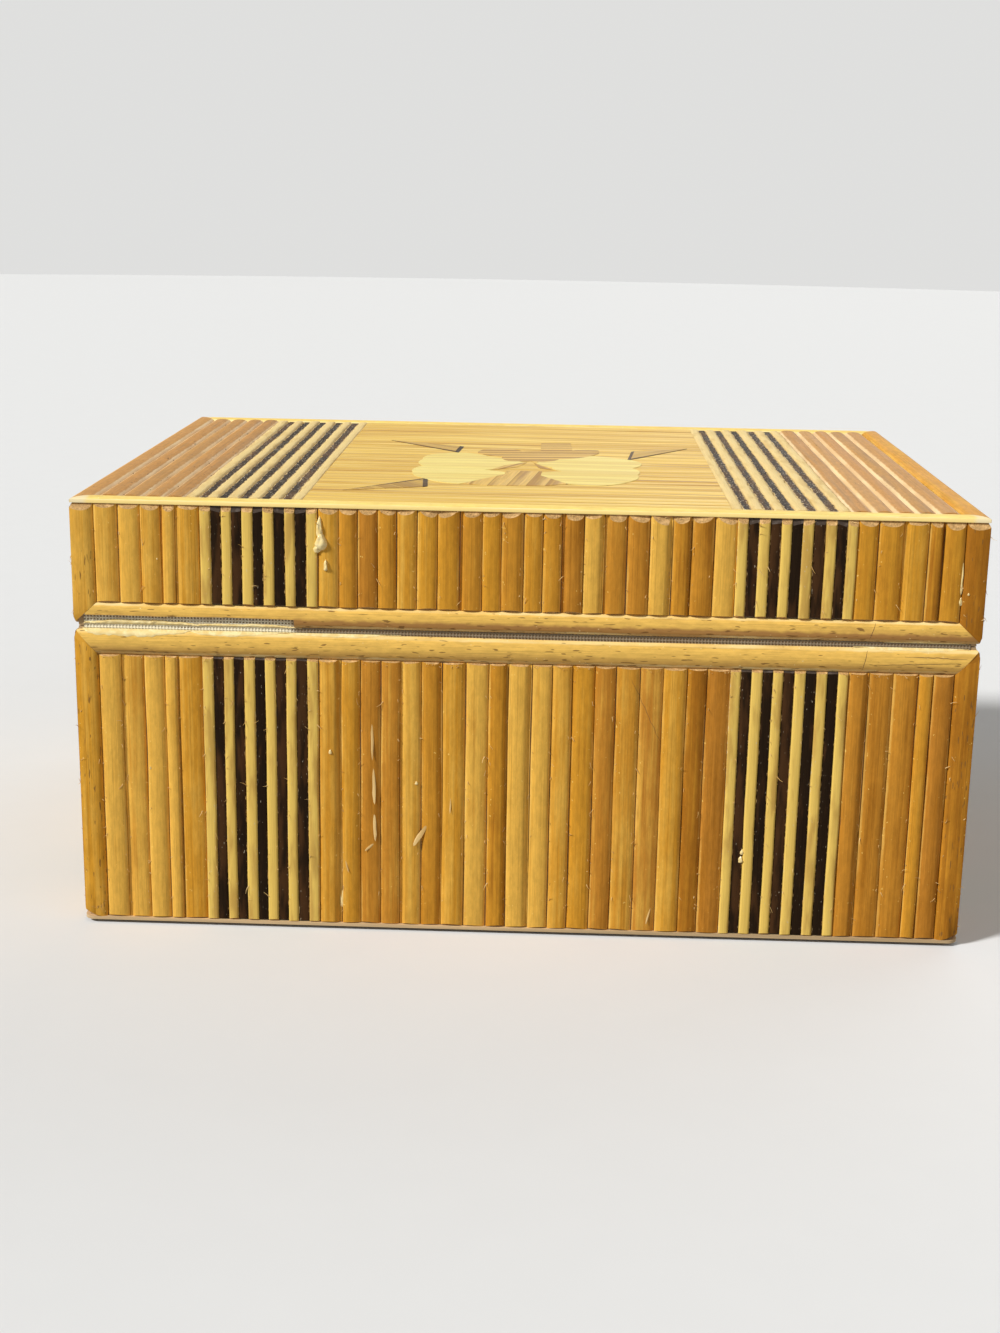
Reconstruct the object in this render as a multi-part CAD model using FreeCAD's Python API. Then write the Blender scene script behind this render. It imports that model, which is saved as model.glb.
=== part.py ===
"""Hinged-lid keepsake box, veneered with half-round split reeds.

The origin is the centre of the underside, Z is up and X runs along the box. The hinge side
faces -Y, the opening side +Y. A plain wooden base and lid meet at a seam. Each outer face is
framed by corner stiles and rim rails, and holds upright reeds with two bands of flat pale and
dark strips. A strip of woven cloth, glued under the rim rails of the hinge side, is the hinge.
The top of the lid carries brown reeds, the same two bands and a straw field with a flower.
"""
import FreeCAD, Part
import math
import os

from FreeCAD import Vector

# Carcass
CARCASS_LENGTH = 247.0
CARCASS_DEPTH = 185.0
BASE_HEIGHT = 87.5           # underside to the middle of the seam
LID_HEIGHT = 36.0            # middle of the seam to the highest crown on top
WALL_THICKNESS = 5.0
BOTTOM_BOARD_THICKNESS = 3.0
TOP_BOARD_THICKNESS = 3.0
SOLE_THICKNESS = 0.9
SOLE_CORNER_RADIUS = 3.0
FELT_THICKNESS = 1.0
FELT_INSET = 2.5             # from the edge of the sole sheet
LINING_THICKNESS = 0.5
LINING_SETBACK = 0.8         # from the rim down to the edge of the wall linings
SEAM_GAP = 0.3               # between the rims of the closed box

# Veneer strips
REED_CROWN = 1.5             # height of a reed's middle over the wall
REED_EDGE = 0.4              # height of a reed's long edges
BASE_REED_WIDTH = 6.0        # mean width of the natural reeds
LID_REED_WIDTH = 5.75
REED_SPREAD = 0.1            # share by which reed widths differ
NARROW_REED = 3              # place of the narrow reed in each outer group, counted from 0
NARROW_REED_SHARE = 0.62     # its width as a share of the mean
BAND_STRIP_WIDTH = 2.93      # mean width of the strips in a band
BAND_STRIP_SPREAD = 0.05
DARK_STRIPS_PER_BAND = 5
PALE_STRIP_THICKNESS = 1.3
DARK_STRIP_THICKNESS = 0.95
STRIP_ROUNDING = 0.15        # drop of a flat strip's edges below its middle
GLUE_LINE = 0.08             # between neighbouring strips
LONG_FACE_OUTER_WIDTH = 29.0   # reeds between a stile and a band, on the hinge and opening sides
SHORT_FACE_OUTER_WIDTH = 23.2
REED_TOP_CHAMFER = 1.0       # at the cut ends under the lid's edge rails
REED_END_CHAMFER = 0.5       # at the other cut ends

# Frames of stiles and rails
STILE_WIDTH = 6.3
CORNER_EDGE = 1.0            # height of the stiles where two of them meet at a corner
BASE_RAIL_WIDTH = 7.0
LID_RAIL_WIDTH = 5.9
RAIL_EDGE = 0.55             # height of a rail's long edges over the wall
RAIL_SETBACK = 0.9           # from the middle of the seam to the rails
SPLIT_LENGTH = 60.0          # where the lid's hinge rail has lost its lower half

# Cloth hinge
CLOTH_THICKNESS = 0.3
CLOTH_EDGE_COVER = 0.4       # width of rail that is glued to wood beyond the cloth
CLOTH_END_INSET = 1.5
CLOTH_CLEARANCE = 0.04       # between the cloth and the strips over it

# Top of the lid
TOP_RAIL_WIDTH = 6.8
TOP_RAIL_OUTER_EDGE = 0.6
TOP_RAIL_INNER_EDGE = 0.7
LEFT_TOP_REED_COUNT = 4
RIGHT_TOP_REED_COUNT = 5
TOP_REED_SPREAD = 0.06
FIELD_WIDTH = 117.5
FIELD_CARD_THICKNESS = 0.8
STRAW_WIDTH = 5.0
STRAW_THICKNESS = 0.35
STRAW_ROUNDING = 0.08
FLOWER_THICKNESS = 0.3

# Flower: outlines run clockwise from its heart, across and up the lid
FLOWER_HEART_X = -0.7
FLOWER_HEART_Y = -8.7
FLOWER_EDGE_BULGE = 0.1
LEAF_RIB_WIDTH = 1.8
LEAF_FOOT_WIDTH = 1.9
LEFT_PETAL = [
    (-2, 1), (-6, -8), (-14, -16), (-6, -22), (-12, -33), (-20, -45),
    (-30, -37), (-35, -24), (-33, -10), (-34, 4), (-31, 17), (-21, 21), (-13, 12),
]
RIGHT_PETAL = [
    (2, 1), (9, 11), (18, 19), (28, 15), (35, 6), (32, -6),
    (33, -20), (30, -34), (21, -43), (12, -41), (6, -30), (2, -22), (10, -16), (7, -8),
]
CREST = [
    (-7, 4), (-9, 14), (-17, 20), (-16, 29), (-8, 33), (-3, 27), (4, 29),
    (11, 28), (16, 33), (22, 33), (19, 19), (9, 10), (4, 3), (0, 5),
]
FLAG = [(3, 26), (3, 49), (13, 50), (13.5, 26)]
LEFT_EYE = [(-1, 2), (-3.5, -8), (-12, -16.5), (-8, -6)]
RIGHT_EYE = [(1, 2), (3.5, -4), (8.5, -14.5), (3, -10)]
LIP = [(-7, -17), (4, -17), (3, -40), (-2, -45), (-8, -40)]
FAN = [(-7, -24), (3, -24), (12, -41), (5, -45), (-12, -47), (-19, -44)]
LEAVES = [
    ((-25, 23), (-48, 48), (-24, 37)),
    ((32, 13), (52, 42), (34, 33)),
    ((-31, -36), (-52, -61), (-30, -52)),
]

FULL_LENGTH = CARCASS_LENGTH + 2 * REED_CROWN
FULL_DEPTH = CARCASS_DEPTH + 2 * REED_CROWN
SOLE_BOTTOM = FELT_THICKNESS
BOARD_BOTTOM = SOLE_BOTTOM + SOLE_THICKNESS
BASE_WALL_BOTTOM = BOARD_BOTTOM + BOTTOM_BOARD_THICKNESS
BASE_WALL_TOP = BASE_HEIGHT - SEAM_GAP / 2
LID_WALL_BOTTOM = BASE_HEIGHT + SEAM_GAP / 2
FULL_HEIGHT = BASE_HEIGHT + LID_HEIGHT
BOARD_TOP = FULL_HEIGHT - REED_CROWN
LID_WALL_TOP = BOARD_TOP - TOP_BOARD_THICKNESS
BAND_WIDTH = BAND_STRIP_WIDTH * (2 * DARK_STRIPS_PER_BAND + 1)
BEYOND = 2.0                 # how far cutting shapes reach past what they cut

# Turn of each face about Z, from the hinge side
FACE_TURN = {"hinge": 0, "right": 90, "opening": 180, "left": 270}

# Where the uneven widths start in their pattern, and how far one face is from the next
PATTERN_START = {"base": 0.5, "lid": 7.0}
PATTERN_STEP = 11


def face_length(face):
    """Length of the carcass along one side of the box."""
    if face in ("hinge", "opening"):
        return CARCASS_LENGTH
    return CARCASS_DEPTH


def face_distance(face):
    """Distance from the middle of the box to the carcass on one side."""
    if face in ("hinge", "opening"):
        return CARCASS_DEPTH / 2
    return CARCASS_LENGTH / 2


def place_on_face(shape, face):
    """Move a shape made at y = 0, with its front towards -Y, to one side of the box."""
    placed = shape.copy()
    placed.translate(Vector(0, -face_distance(face), 0))
    placed.rotate(Vector(0, 0, 0), Vector(0, 0, 1), FACE_TURN[face])
    return placed


def place_on_top(shape, height):
    """Lay a shape made at y = 0 on its back: its Z becomes Y, and its front faces up."""
    placed = shape.copy()
    placed.rotate(Vector(0, 0, 0), Vector(1, 0, 0), -90)
    placed.translate(Vector(0, 0, height))
    return placed


def box_between(low, high):
    """Box between two opposite corners."""
    size = Vector(*high) - Vector(*low)
    return Part.makeBox(size.x, size.y, size.z, Vector(*low))


def rounded_sheet(length, depth, radius, bottom, thickness):
    """Flat sheet centred on the Z axis, with rounded upright corners."""
    low = (-length / 2, -depth / 2, bottom)
    high = (length / 2, depth / 2, bottom + thickness)
    sheet = box_between(low, high)
    upright = [edge for edge in sheet.Edges if abs(edge.tangentAt(edge.FirstParameter).z) > 0.9]
    return sheet.makeFillet(radius, upright)


def prism(points, direction):
    """Solid swept from the flat outline through some points."""
    corners = [Vector(*point) for point in points]
    return Part.Face(Part.makePolygon(corners + corners[:1])).extrude(Vector(*direction))


def arched_bar(back_start, edge_start, crown, edge_end, back_end, sweep):
    """Bar with a flat back and an arched front, swept from its section."""
    outline = [
        Part.LineSegment(back_start, edge_start),
        Part.Arc(edge_start, crown, edge_end),
        Part.LineSegment(edge_end, back_end),
        Part.LineSegment(back_end, back_start),
    ]
    wire = Part.Wire([piece.toShape() for piece in outline])
    return Part.Face(wire).extrude(sweep)


def upright_strip(left, right, bottom, top, edge, crown):
    """Arched strip that runs up a face."""
    return arched_bar(
        Vector(left, 0, bottom),
        Vector(left, -edge, bottom),
        Vector((left + right) / 2, -crown, bottom),
        Vector(right, -edge, bottom),
        Vector(right, 0, bottom),
        Vector(0, 0, top - bottom),
    )


def level_strip(left, right, bottom, top, bottom_edge, crown, top_edge):
    """Arched strip that runs along a face."""
    return arched_bar(
        Vector(left, 0, bottom),
        Vector(left, -bottom_edge, bottom),
        Vector(left, -crown, (bottom + top) / 2),
        Vector(left, -top_edge, top),
        Vector(left, 0, top),
        Vector(right - left, 0, 0),
    )


def uneven_shares(count, spread, start):
    """Relative widths of a row of strips, each a little different from its neighbours."""
    return [1 + spread * math.sin(start + 2.4 * number * number) for number in range(count)]


def row_of_reeds(left, total, shares):
    """Reeds side by side that fill a total width: kind, left edge and right edge of each."""
    row = []
    for share in shares:
        width = total * share / sum(shares)
        row.append(("reed", left, left + width))
        left = left + width
    return row


def outer_reeds(left, total, mean_width, start):
    """The reeds between a stile and a band, one of them narrow."""
    shares = uneven_shares(max(1, round(total / mean_width)), REED_SPREAD, start)
    if len(shares) > NARROW_REED + 1:
        shares[NARROW_REED] = NARROW_REED_SHARE
    return row_of_reeds(left, total, shares)


def band_of_strips(left, start):
    """Pale and dark strips in turn, pale at both edges."""
    shares = uneven_shares(2 * DARK_STRIPS_PER_BAND + 1, BAND_STRIP_SPREAD, start)
    row = row_of_reeds(left, BAND_WIDTH, shares)
    kinds = ["dark" if number % 2 else "pale" for number in range(len(row))]
    return [(kind, edges[1], edges[2]) for kind, edges in zip(kinds, row)]


def face_row(face, body, start):
    """All the upright strips of one face, from its left stile to its right stile."""
    mean_width = BASE_REED_WIDTH if body == "base" else LID_REED_WIDTH
    outer_width = LONG_FACE_OUTER_WIDTH
    if face in ("left", "right"):
        outer_width = SHORT_FACE_OUTER_WIDTH
    inner_edge = face_length(face) / 2 + CORNER_EDGE - STILE_WIDTH
    band_left = -inner_edge + outer_width
    middle_left = band_left + BAND_WIDTH
    middle_count = max(1, round(-2 * middle_left / mean_width))
    middle_shares = uneven_shares(middle_count, REED_SPREAD, start + 2)
    row = outer_reeds(-inner_edge, outer_width, mean_width, start)
    row += band_of_strips(band_left, start + 1)
    row += row_of_reeds(middle_left, -2 * middle_left, middle_shares)
    row += band_of_strips(-middle_left, start + 3)
    row += outer_reeds(-band_left, outer_width, mean_width, start + 4)
    return row


def strip_of_kind(kind, left, right, bottom, top):
    """One upright strip in the section of its kind, a glue line narrower than its place."""
    edge = REED_EDGE
    crown = REED_CROWN
    if kind == "pale":
        crown = PALE_STRIP_THICKNESS
        edge = crown - STRIP_ROUNDING
    if kind == "dark":
        crown = DARK_STRIP_THICKNESS
        edge = crown - STRIP_ROUNDING
    half_line = GLUE_LINE / 2
    return upright_strip(left + half_line, right - half_line, bottom, top, edge, crown)


def end_bevel(length, end, chamfer, up):
    """Wedge that bevels the front of strips at one end; up is 1 at a top end, -1 at a bottom."""
    front = -REED_CROWN
    points = [
        (-length, front + chamfer + BEYOND, end + up * BEYOND),
        (-length, front - BEYOND, end - up * (chamfer + BEYOND)),
        (-length, front - BEYOND, end + up * BEYOND),
    ]
    return prism(points, (2 * length, 0, 0))


def stile(face, side, bottom, top):
    """Corner stile at one end of a face; side is -1 at the left and 1 at the right."""
    corner = face_length(face) / 2 - GLUE_LINE / 2
    outer = corner + CORNER_EDGE
    inner = outer - STILE_WIDTH + GLUE_LINE
    return arched_bar(
        Vector(side * inner, 0, bottom),
        Vector(side * inner, -REED_EDGE, bottom),
        Vector(side * (inner + outer) / 2, -REED_CROWN, bottom),
        Vector(side * outer, -CORNER_EDGE, bottom),
        Vector(side * corner, 0, bottom),
        Vector(0, 0, top - bottom),
    )


def rail_window(face, seam_edge, inner_edge, slack):
    """Space of a rim rail seen from the front: its ends are mitred against the stiles."""
    outer = face_length(face) / 2 + CORNER_EDGE - slack
    inner = outer - STILE_WIDTH
    points = [
        (-outer, BEYOND, seam_edge),
        (outer, BEYOND, seam_edge),
        (inner, BEYOND, inner_edge),
        (-inner, BEYOND, inner_edge),
    ]
    return prism(points, (0, -REED_CROWN - 2 * BEYOND, 0))


def corner_mitres(face, bottom, top):
    """Space between the two upright 45 degree planes that part a face from its neighbours."""
    half = face_length(face) / 2 - GLUE_LINE / 2
    reach = REED_CROWN + BEYOND
    points = [(-half, 0, bottom), (half, 0, bottom)]
    points += [(half + reach, -reach, bottom), (-half - reach, -reach, bottom)]
    return prism(points, (0, 0, top - bottom))


def rim_edges(body):
    """Heights of a rim rail's two long edges, the one at the seam first."""
    if body == "base":
        seam_edge = BASE_HEIGHT - RAIL_SETBACK
        return seam_edge, seam_edge - BASE_RAIL_WIDTH
    seam_edge = BASE_HEIGHT + RAIL_SETBACK
    return seam_edge, seam_edge + LID_RAIL_WIDTH


def rim_rail(face, body):
    """Rail along the rim of the base or the lid, mitred at both ends."""
    seam_edge, inner_edge = rim_edges(body)
    low = min(seam_edge, inner_edge)
    high = max(seam_edge, inner_edge)
    reach = face_length(face) / 2 + REED_CROWN
    bar = level_strip(-reach, reach, low, high, RAIL_EDGE, REED_CROWN, RAIL_EDGE)
    bar = bar.common(rail_window(face, seam_edge, inner_edge, GLUE_LINE))
    return bar.common(corner_mitres(face, low - BEYOND, high + BEYOND))


def cloth_edges():
    """Heights of the lower and upper edges of the hinge cloth."""
    base_inner = rim_edges("base")[1]
    lid_inner = rim_edges("lid")[1]
    return base_inner + CLOTH_EDGE_COVER, lid_inner - CLOTH_EDGE_COVER


def cloth_strip(clearance):
    """Hinge cloth in the frame of its face, grown by a clearance all round."""
    low, high = cloth_edges()
    reach = CARCASS_LENGTH / 2 - CLOTH_END_INSET + clearance
    front = -CLOTH_THICKNESS - clearance
    return box_between((-reach, front, low - clearance), (reach, 0, high + clearance))


def split_from_rail():
    """The splinter missing from the lid's hinge rail: its lower half, from the left corner."""
    seam_edge, inner_edge = rim_edges("lid")
    left = -CARCASS_LENGTH / 2
    low = (left - BEYOND, -REED_CROWN - BEYOND, seam_edge - BEYOND)
    high = (left + SPLIT_LENGTH, BEYOND, (seam_edge + inner_edge) / 2)
    return box_between(low, high)


def tip_bevel(length, body):
    """Wedge that thins the tips of the stiles as the rails beside them thin towards the seam."""
    seam_edge, inner_edge = rim_edges(body)
    middle = (seam_edge + inner_edge) / 2
    past_seam = seam_edge + math.copysign(BEYOND, seam_edge - inner_edge)
    front = -REED_CROWN - BEYOND
    points = [
        (-length, -RAIL_EDGE, seam_edge),
        (-length, -REED_CROWN, middle),
        (-length, front, middle),
        (-length, front, past_seam),
        (-length, -RAIL_EDGE, past_seam),
    ]
    return prism(points, (2 * length, 0, 0))


def face_veneer(face, body, start):
    """Strips, stiles and rail on one side of the base or the lid, by kind."""
    seam_edge, inner_edge = rim_edges(body)
    gap = GLUE_LINE if body == "lid" else -GLUE_LINE
    reach = face_length(face)
    if body == "base":
        bottom = BOARD_BOTTOM
        top = inner_edge + gap
        stile_span = (bottom, seam_edge)
        bevels = [end_bevel(reach, bottom, REED_END_CHAMFER, -1)]
        bevels.append(end_bevel(reach, top, REED_END_CHAMFER, 1))
    else:
        bottom = inner_edge + gap
        top = BOARD_TOP
        stile_span = (seam_edge, top)
        bevels = [end_bevel(reach, top, REED_TOP_CHAMFER, 1)]
        bevels.append(end_bevel(reach, bottom, REED_END_CHAMFER, -1))
    pieces = {"reed": [], "pale": [], "dark": [], "stile": [], "rail": []}
    for kind, left, right in face_row(face, body, start):
        strip = strip_of_kind(kind, left, right, bottom, top)
        pieces[kind].append(strip.cut(bevels))
    stile_cuts = [rail_window(face, seam_edge, inner_edge, 0), bevels[0], tip_bevel(reach, body)]
    for side in (-1, 1):
        pieces["stile"].append(stile(face, side, *stile_span).cut(stile_cuts))
    pieces["rail"].append(rim_rail(face, body))
    if face == "hinge":
        relief = cloth_strip(CLOTH_CLEARANCE)
        for kind in ("stile", "rail"):
            pieces[kind] = [piece.cut(relief) for piece in pieces[kind]]
        if body == "lid":
            pieces["rail"] = [piece.cut(split_from_rail()) for piece in pieces["rail"]]
    return {kind: [place_on_face(piece, face) for piece in group] for kind, group in pieces.items()}


def top_edge_rails():
    """Four rails round the top of the lid, mitred at the corners."""
    rails = []
    for face in FACE_TURN:
        length = face_length(face) + 2 * REED_CROWN
        bar = level_strip(
            -length / 2,
            length / 2,
            0,
            TOP_RAIL_WIDTH,
            TOP_RAIL_OUTER_EDGE,
            REED_CROWN,
            TOP_RAIL_INNER_EDGE,
        )
        outer = length / 2 - GLUE_LINE / 2
        inner = outer - TOP_RAIL_WIDTH
        points = [(-outer, BEYOND, 0), (outer, BEYOND, 0)]
        points += [(inner, BEYOND, TOP_RAIL_WIDTH), (-inner, BEYOND, TOP_RAIL_WIDTH)]
        bar = bar.common(prism(points, (0, -REED_CROWN - 2 * BEYOND, 0)))
        bar = place_on_top(bar, BOARD_TOP)
        bar.translate(Vector(0, -face_distance(face) - REED_CROWN, 0))
        bar.rotate(Vector(0, 0, 0), Vector(0, 0, 1), FACE_TURN[face])
        rails.append(bar)
    return rails


def field_edges():
    """Left and right edges of the straw field."""
    inner = FULL_LENGTH - 2 * TOP_RAIL_WIDTH
    reeds_width = inner - FIELD_WIDTH - 2 * BAND_WIDTH
    reed_width = reeds_width / (LEFT_TOP_REED_COUNT + RIGHT_TOP_REED_COUNT)
    left = -inner / 2 + LEFT_TOP_REED_COUNT * reed_width + BAND_WIDTH
    return left, left + FIELD_WIDTH


def top_row():
    """Strips on top of the lid, from its left edge rail to its right one, without the field."""
    inner = FULL_LENGTH / 2 - TOP_RAIL_WIDTH
    field_left, field_right = field_edges()
    left_band = field_left - BAND_WIDTH
    right_reeds = field_right + BAND_WIDTH
    left_shares = uneven_shares(LEFT_TOP_REED_COUNT, TOP_REED_SPREAD, 0.6)
    right_shares = uneven_shares(RIGHT_TOP_REED_COUNT, TOP_REED_SPREAD, 1.4)
    row = row_of_reeds(-inner, left_band + inner, left_shares)
    row += band_of_strips(left_band, 2.0)
    row += band_of_strips(field_right, 3.0)
    row += row_of_reeds(right_reeds, inner - right_reeds, right_shares)
    return row


def top_veneer():
    """Reeds and strips on top of the lid, by kind."""
    reach = FULL_DEPTH / 2 - TOP_RAIL_WIDTH - GLUE_LINE
    pieces = {"reed": [], "pale": [], "dark": []}
    for kind, left, right in top_row():
        strip = strip_of_kind(kind, left, right, -reach, reach)
        pieces[kind].append(place_on_top(strip, BOARD_TOP))
    return pieces


def field_card():
    """Card under the straw."""
    left, right = field_edges()
    reach = FULL_DEPTH / 2 - TOP_RAIL_WIDTH - GLUE_LINE
    low = (left + GLUE_LINE / 2, -reach, BOARD_TOP)
    high = (right - GLUE_LINE / 2, reach, BOARD_TOP + FIELD_CARD_THICKNESS)
    return box_between(low, high)


def straw_strips():
    """Split straws that cover the card, laid along the box."""
    left, right = field_edges()
    reach = FULL_DEPTH / 2 - TOP_RAIL_WIDTH - GLUE_LINE
    count = max(1, round(2 * reach / STRAW_WIDTH))
    width = 2 * reach / count
    edge = STRAW_THICKNESS - STRAW_ROUNDING
    straws = []
    for number in range(count):
        bottom = -reach + number * width
        top = bottom + width - GLUE_LINE
        half_line = GLUE_LINE / 2
        straw = level_strip(
            left + half_line, right - half_line, bottom, top, edge, STRAW_THICKNESS, edge
        )
        straws.append(place_on_top(straw, BOARD_TOP + FIELD_CARD_THICKNESS))
    return straws


def flower_piece(corners, bulge=0.0):
    """Flat piece with these corners, listed clockwise; its edges swell by a share of their length."""
    bottom = BOARD_TOP + FIELD_CARD_THICKNESS + STRAW_THICKNESS
    heart = Vector(FLOWER_HEART_X, FLOWER_HEART_Y, bottom)
    points = [heart + Vector(*corner) for corner in corners]
    edges = []
    for start, end in zip(points, points[1:] + points[:1]):
        chord = end - start
        middle = (start + end) / 2 + Vector(-chord.y, chord.x, 0) * bulge
        edge = Part.Arc(start, middle, end) if bulge else Part.LineSegment(start, end)
        edges.append(edge.toShape())
    return Part.Face(Part.Wire(edges)).extrude(Vector(0, 0, FLOWER_THICKNESS))


def leaf_pieces(stem, tip, heel):
    """Brown blade of a three-cornered leaf, then its dark rib and its dark foot."""
    stem = Vector(*stem)
    tip = Vector(*tip)
    heel = Vector(*heel)
    foot = (heel - stem).normalize()
    outward = (stem - tip).normalize()
    rib_end = stem + foot * LEAF_RIB_WIDTH
    blade_start = rib_end + foot * GLUE_LINE
    foot_start = stem + outward * GLUE_LINE
    foot_end = heel + outward * GLUE_LINE
    across = outward * LEAF_FOOT_WIDTH
    blade = flower_piece([blade_start, tip, heel])
    rib = flower_piece([stem, tip, rib_end])
    bar = flower_piece([foot_start, foot_end, foot_end + across, foot_start + across])
    return blade, [rib, bar]


def flower():
    """Pale petals, brown petals, leaf blades and the dark pieces of the leaves."""
    crest = flower_piece(CREST, FLOWER_EDGE_BULGE)
    flag = flower_piece(FLAG).cut(crest)
    eyes = [flower_piece(LEFT_EYE), flower_piece(RIGHT_EYE)]
    lip = flower_piece(LIP).cut(eyes)
    fan = flower_piece(FAN).cut([lip] + eyes)
    brown = [crest, flag, lip, fan] + eyes
    pale = [flower_piece(outline, FLOWER_EDGE_BULGE) for outline in (LEFT_PETAL, RIGHT_PETAL)]
    pale = [petal.cut(brown) for petal in pale]
    blades = []
    dark = []
    for corners in LEAVES:
        blade, dark_pieces = leaf_pieces(*corners)
        blades.append(blade.cut(pale + brown))
        dark += [piece.cut(pale + brown + [blade]) for piece in dark_pieces]
    return pale, brown, blades, dark


def carcass_walls(bottom, top):
    """Wooden walls of the base or the lid: the long ones run through, the short ones fit between."""
    walls = {}
    for face in FACE_TURN:
        reach = face_length(face) / 2
        if face in ("left", "right"):
            reach = reach - WALL_THICKNESS
        wall = box_between((-reach, 0, bottom), (reach, WALL_THICKNESS, top))
        walls[face] = place_on_face(wall, face)
    return walls


def wall_linings(bottom, top):
    """Paper on the inside of the four walls."""
    linings = []
    for face in FACE_TURN:
        reach = face_length(face) / 2 - WALL_THICKNESS
        if face in ("left", "right"):
            reach = reach - LINING_THICKNESS
        low = (-reach, WALL_THICKNESS, bottom)
        high = (reach, WALL_THICKNESS + LINING_THICKNESS, top)
        linings.append(place_on_face(box_between(low, high), face))
    return linings


def inside_sheet(bottom, top):
    """Sheet that fills the space between the four walls."""
    half_length = CARCASS_LENGTH / 2 - WALL_THICKNESS
    half_depth = CARCASS_DEPTH / 2 - WALL_THICKNESS
    return box_between((-half_length, -half_depth, bottom), (half_length, half_depth, top))


def carcass_board(bottom, top):
    """Board that closes the base or the lid, flush with the walls."""
    half_length = CARCASS_LENGTH / 2
    half_depth = CARCASS_DEPTH / 2
    return box_between((-half_length, -half_depth, bottom), (half_length, half_depth, top))


def add_carcass(nodes):
    """Wooden boxes of the base and the lid, with their linings, sole and felt."""
    for face, wall in carcass_walls(BASE_WALL_BOTTOM, BASE_WALL_TOP).items():
        nodes[f"base_{face}_wall"] = [wall]
    for face, wall in carcass_walls(LID_WALL_BOTTOM, LID_WALL_TOP).items():
        nodes[f"lid_{face}_wall"] = [wall]
    nodes["base_bottom_board"] = [carcass_board(BOARD_BOTTOM, BASE_WALL_BOTTOM)]
    nodes["lid_top_board"] = [carcass_board(LID_WALL_TOP, BOARD_TOP)]
    floor_top = BASE_WALL_BOTTOM + LINING_THICKNESS
    ceiling_bottom = LID_WALL_TOP - LINING_THICKNESS
    nodes["base_floor_lining"] = [inside_sheet(BASE_WALL_BOTTOM, floor_top)]
    nodes["base_wall_linings"] = wall_linings(floor_top, BASE_WALL_TOP - LINING_SETBACK)
    nodes["lid_ceiling_lining"] = [inside_sheet(ceiling_bottom, LID_WALL_TOP)]
    nodes["lid_wall_linings"] = wall_linings(LID_WALL_BOTTOM + LINING_SETBACK, ceiling_bottom)
    sole = rounded_sheet(FULL_LENGTH, FULL_DEPTH, SOLE_CORNER_RADIUS, SOLE_BOTTOM, SOLE_THICKNESS)
    nodes["base_sole_sheet"] = [sole]
    felt_length = FULL_LENGTH - 2 * FELT_INSET
    felt_depth = FULL_DEPTH - 2 * FELT_INSET
    felt = rounded_sheet(felt_length, felt_depth, SOLE_CORNER_RADIUS, 0, FELT_THICKNESS)
    nodes["base_felt_pad"] = [felt]


def add_side_veneer(nodes):
    """Reeds, strips, stiles and rails on the four sides of the base and the lid."""
    for body in ("base", "lid"):
        shared = {"pale": [], "dark": [], "stile": []}
        for number, face in enumerate(FACE_TURN):
            pieces = face_veneer(face, body, PATTERN_START[body] + PATTERN_STEP * number)
            nodes[f"{body}_{face}_reeds"] = pieces["reed"]
            nodes[f"{body}_{face}_rim_rail"] = pieces["rail"]
            for kind in shared:
                shared[kind] += pieces[kind]
        nodes[f"{body}_pale_strips"] = shared["pale"]
        nodes[f"{body}_dark_strips"] = shared["dark"]
        nodes[f"{body}_corner_stiles"] = shared["stile"]


def add_top_veneer(nodes):
    """Rails, reeds, strips, straw field and flower on top of the lid."""
    pieces = top_veneer()
    nodes["top_edge_rails"] = top_edge_rails()
    nodes["top_brown_reeds"] = pieces["reed"]
    nodes["top_pale_strips"] = pieces["pale"]
    nodes["top_dark_strips"] = pieces["dark"]
    nodes["top_field_card"] = [field_card()]
    nodes["top_straw_field"] = straw_strips()
    pale, brown, blades, dark = flower()
    nodes["flower_pale_petals"] = pale
    nodes["flower_brown_petals"] = brown
    nodes["flower_leaf_blades"] = blades
    nodes["flower_leaf_dark_edges"] = dark


def add_hinge_cloth(nodes):
    """Cloth hinge, glued to the carcass across the seam under the rim rails."""
    nodes["hinge_cloth"] = [place_on_face(cloth_strip(0), "hinge")]


def rails_meet_angle():
    """Opening angle at which the two rails of the hinge side touch, turning about the cloth."""
    pivot_out = CLOTH_THICKNESS / 2
    smallest = 180.0
    for width in (BASE_RAIL_WIDTH, LID_RAIL_WIDTH):
        for step in range(101):
            along = width / 2 * step / 100
            rise = 1 - (1 - along / (width / 2)) ** 2
            out = RAIL_EDGE + (REED_CROWN - RAIL_EDGE) * rise - pivot_out
            angle = math.degrees(math.atan2(RAIL_SETBACK + along, out))
            smallest = min(smallest, angle)
    return 2 * smallest


def build():
    """Make every node and write its STEP file."""
    nodes = {}
    add_carcass(nodes)
    add_side_veneer(nodes)
    add_top_veneer(nodes)
    add_hinge_cloth(nodes)
    os.makedirs("parts", exist_ok=True)
    for name, pieces in nodes.items():
        solids = [solid for piece in pieces for solid in piece.Solids]
        shape = solids[0] if len(solids) == 1 else Part.Compound(solids)
        shape.exportStep(f"parts/{name}.step")
    print(f"{len(nodes)} nodes, {sum(len(pieces) for pieces in nodes.values())} pieces")
    print(f"rails of the hinge side meet at {rails_meet_angle():.1f} degrees")


build()
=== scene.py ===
"""Looks of the hinged-lid reed box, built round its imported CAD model.

The file is laid out as a Blender add-on and is run as a script. Each operator makes one group of
pieces: it reads where the CAD strips lie, and models each strip again with the sway, worn ends
and frayed fibres of real split reed. Lengths are in metres, in the frame of the CAD model.
"""

import math
import random

import bmesh
import bpy
from mathutils import Matrix, Vector, noise


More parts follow.
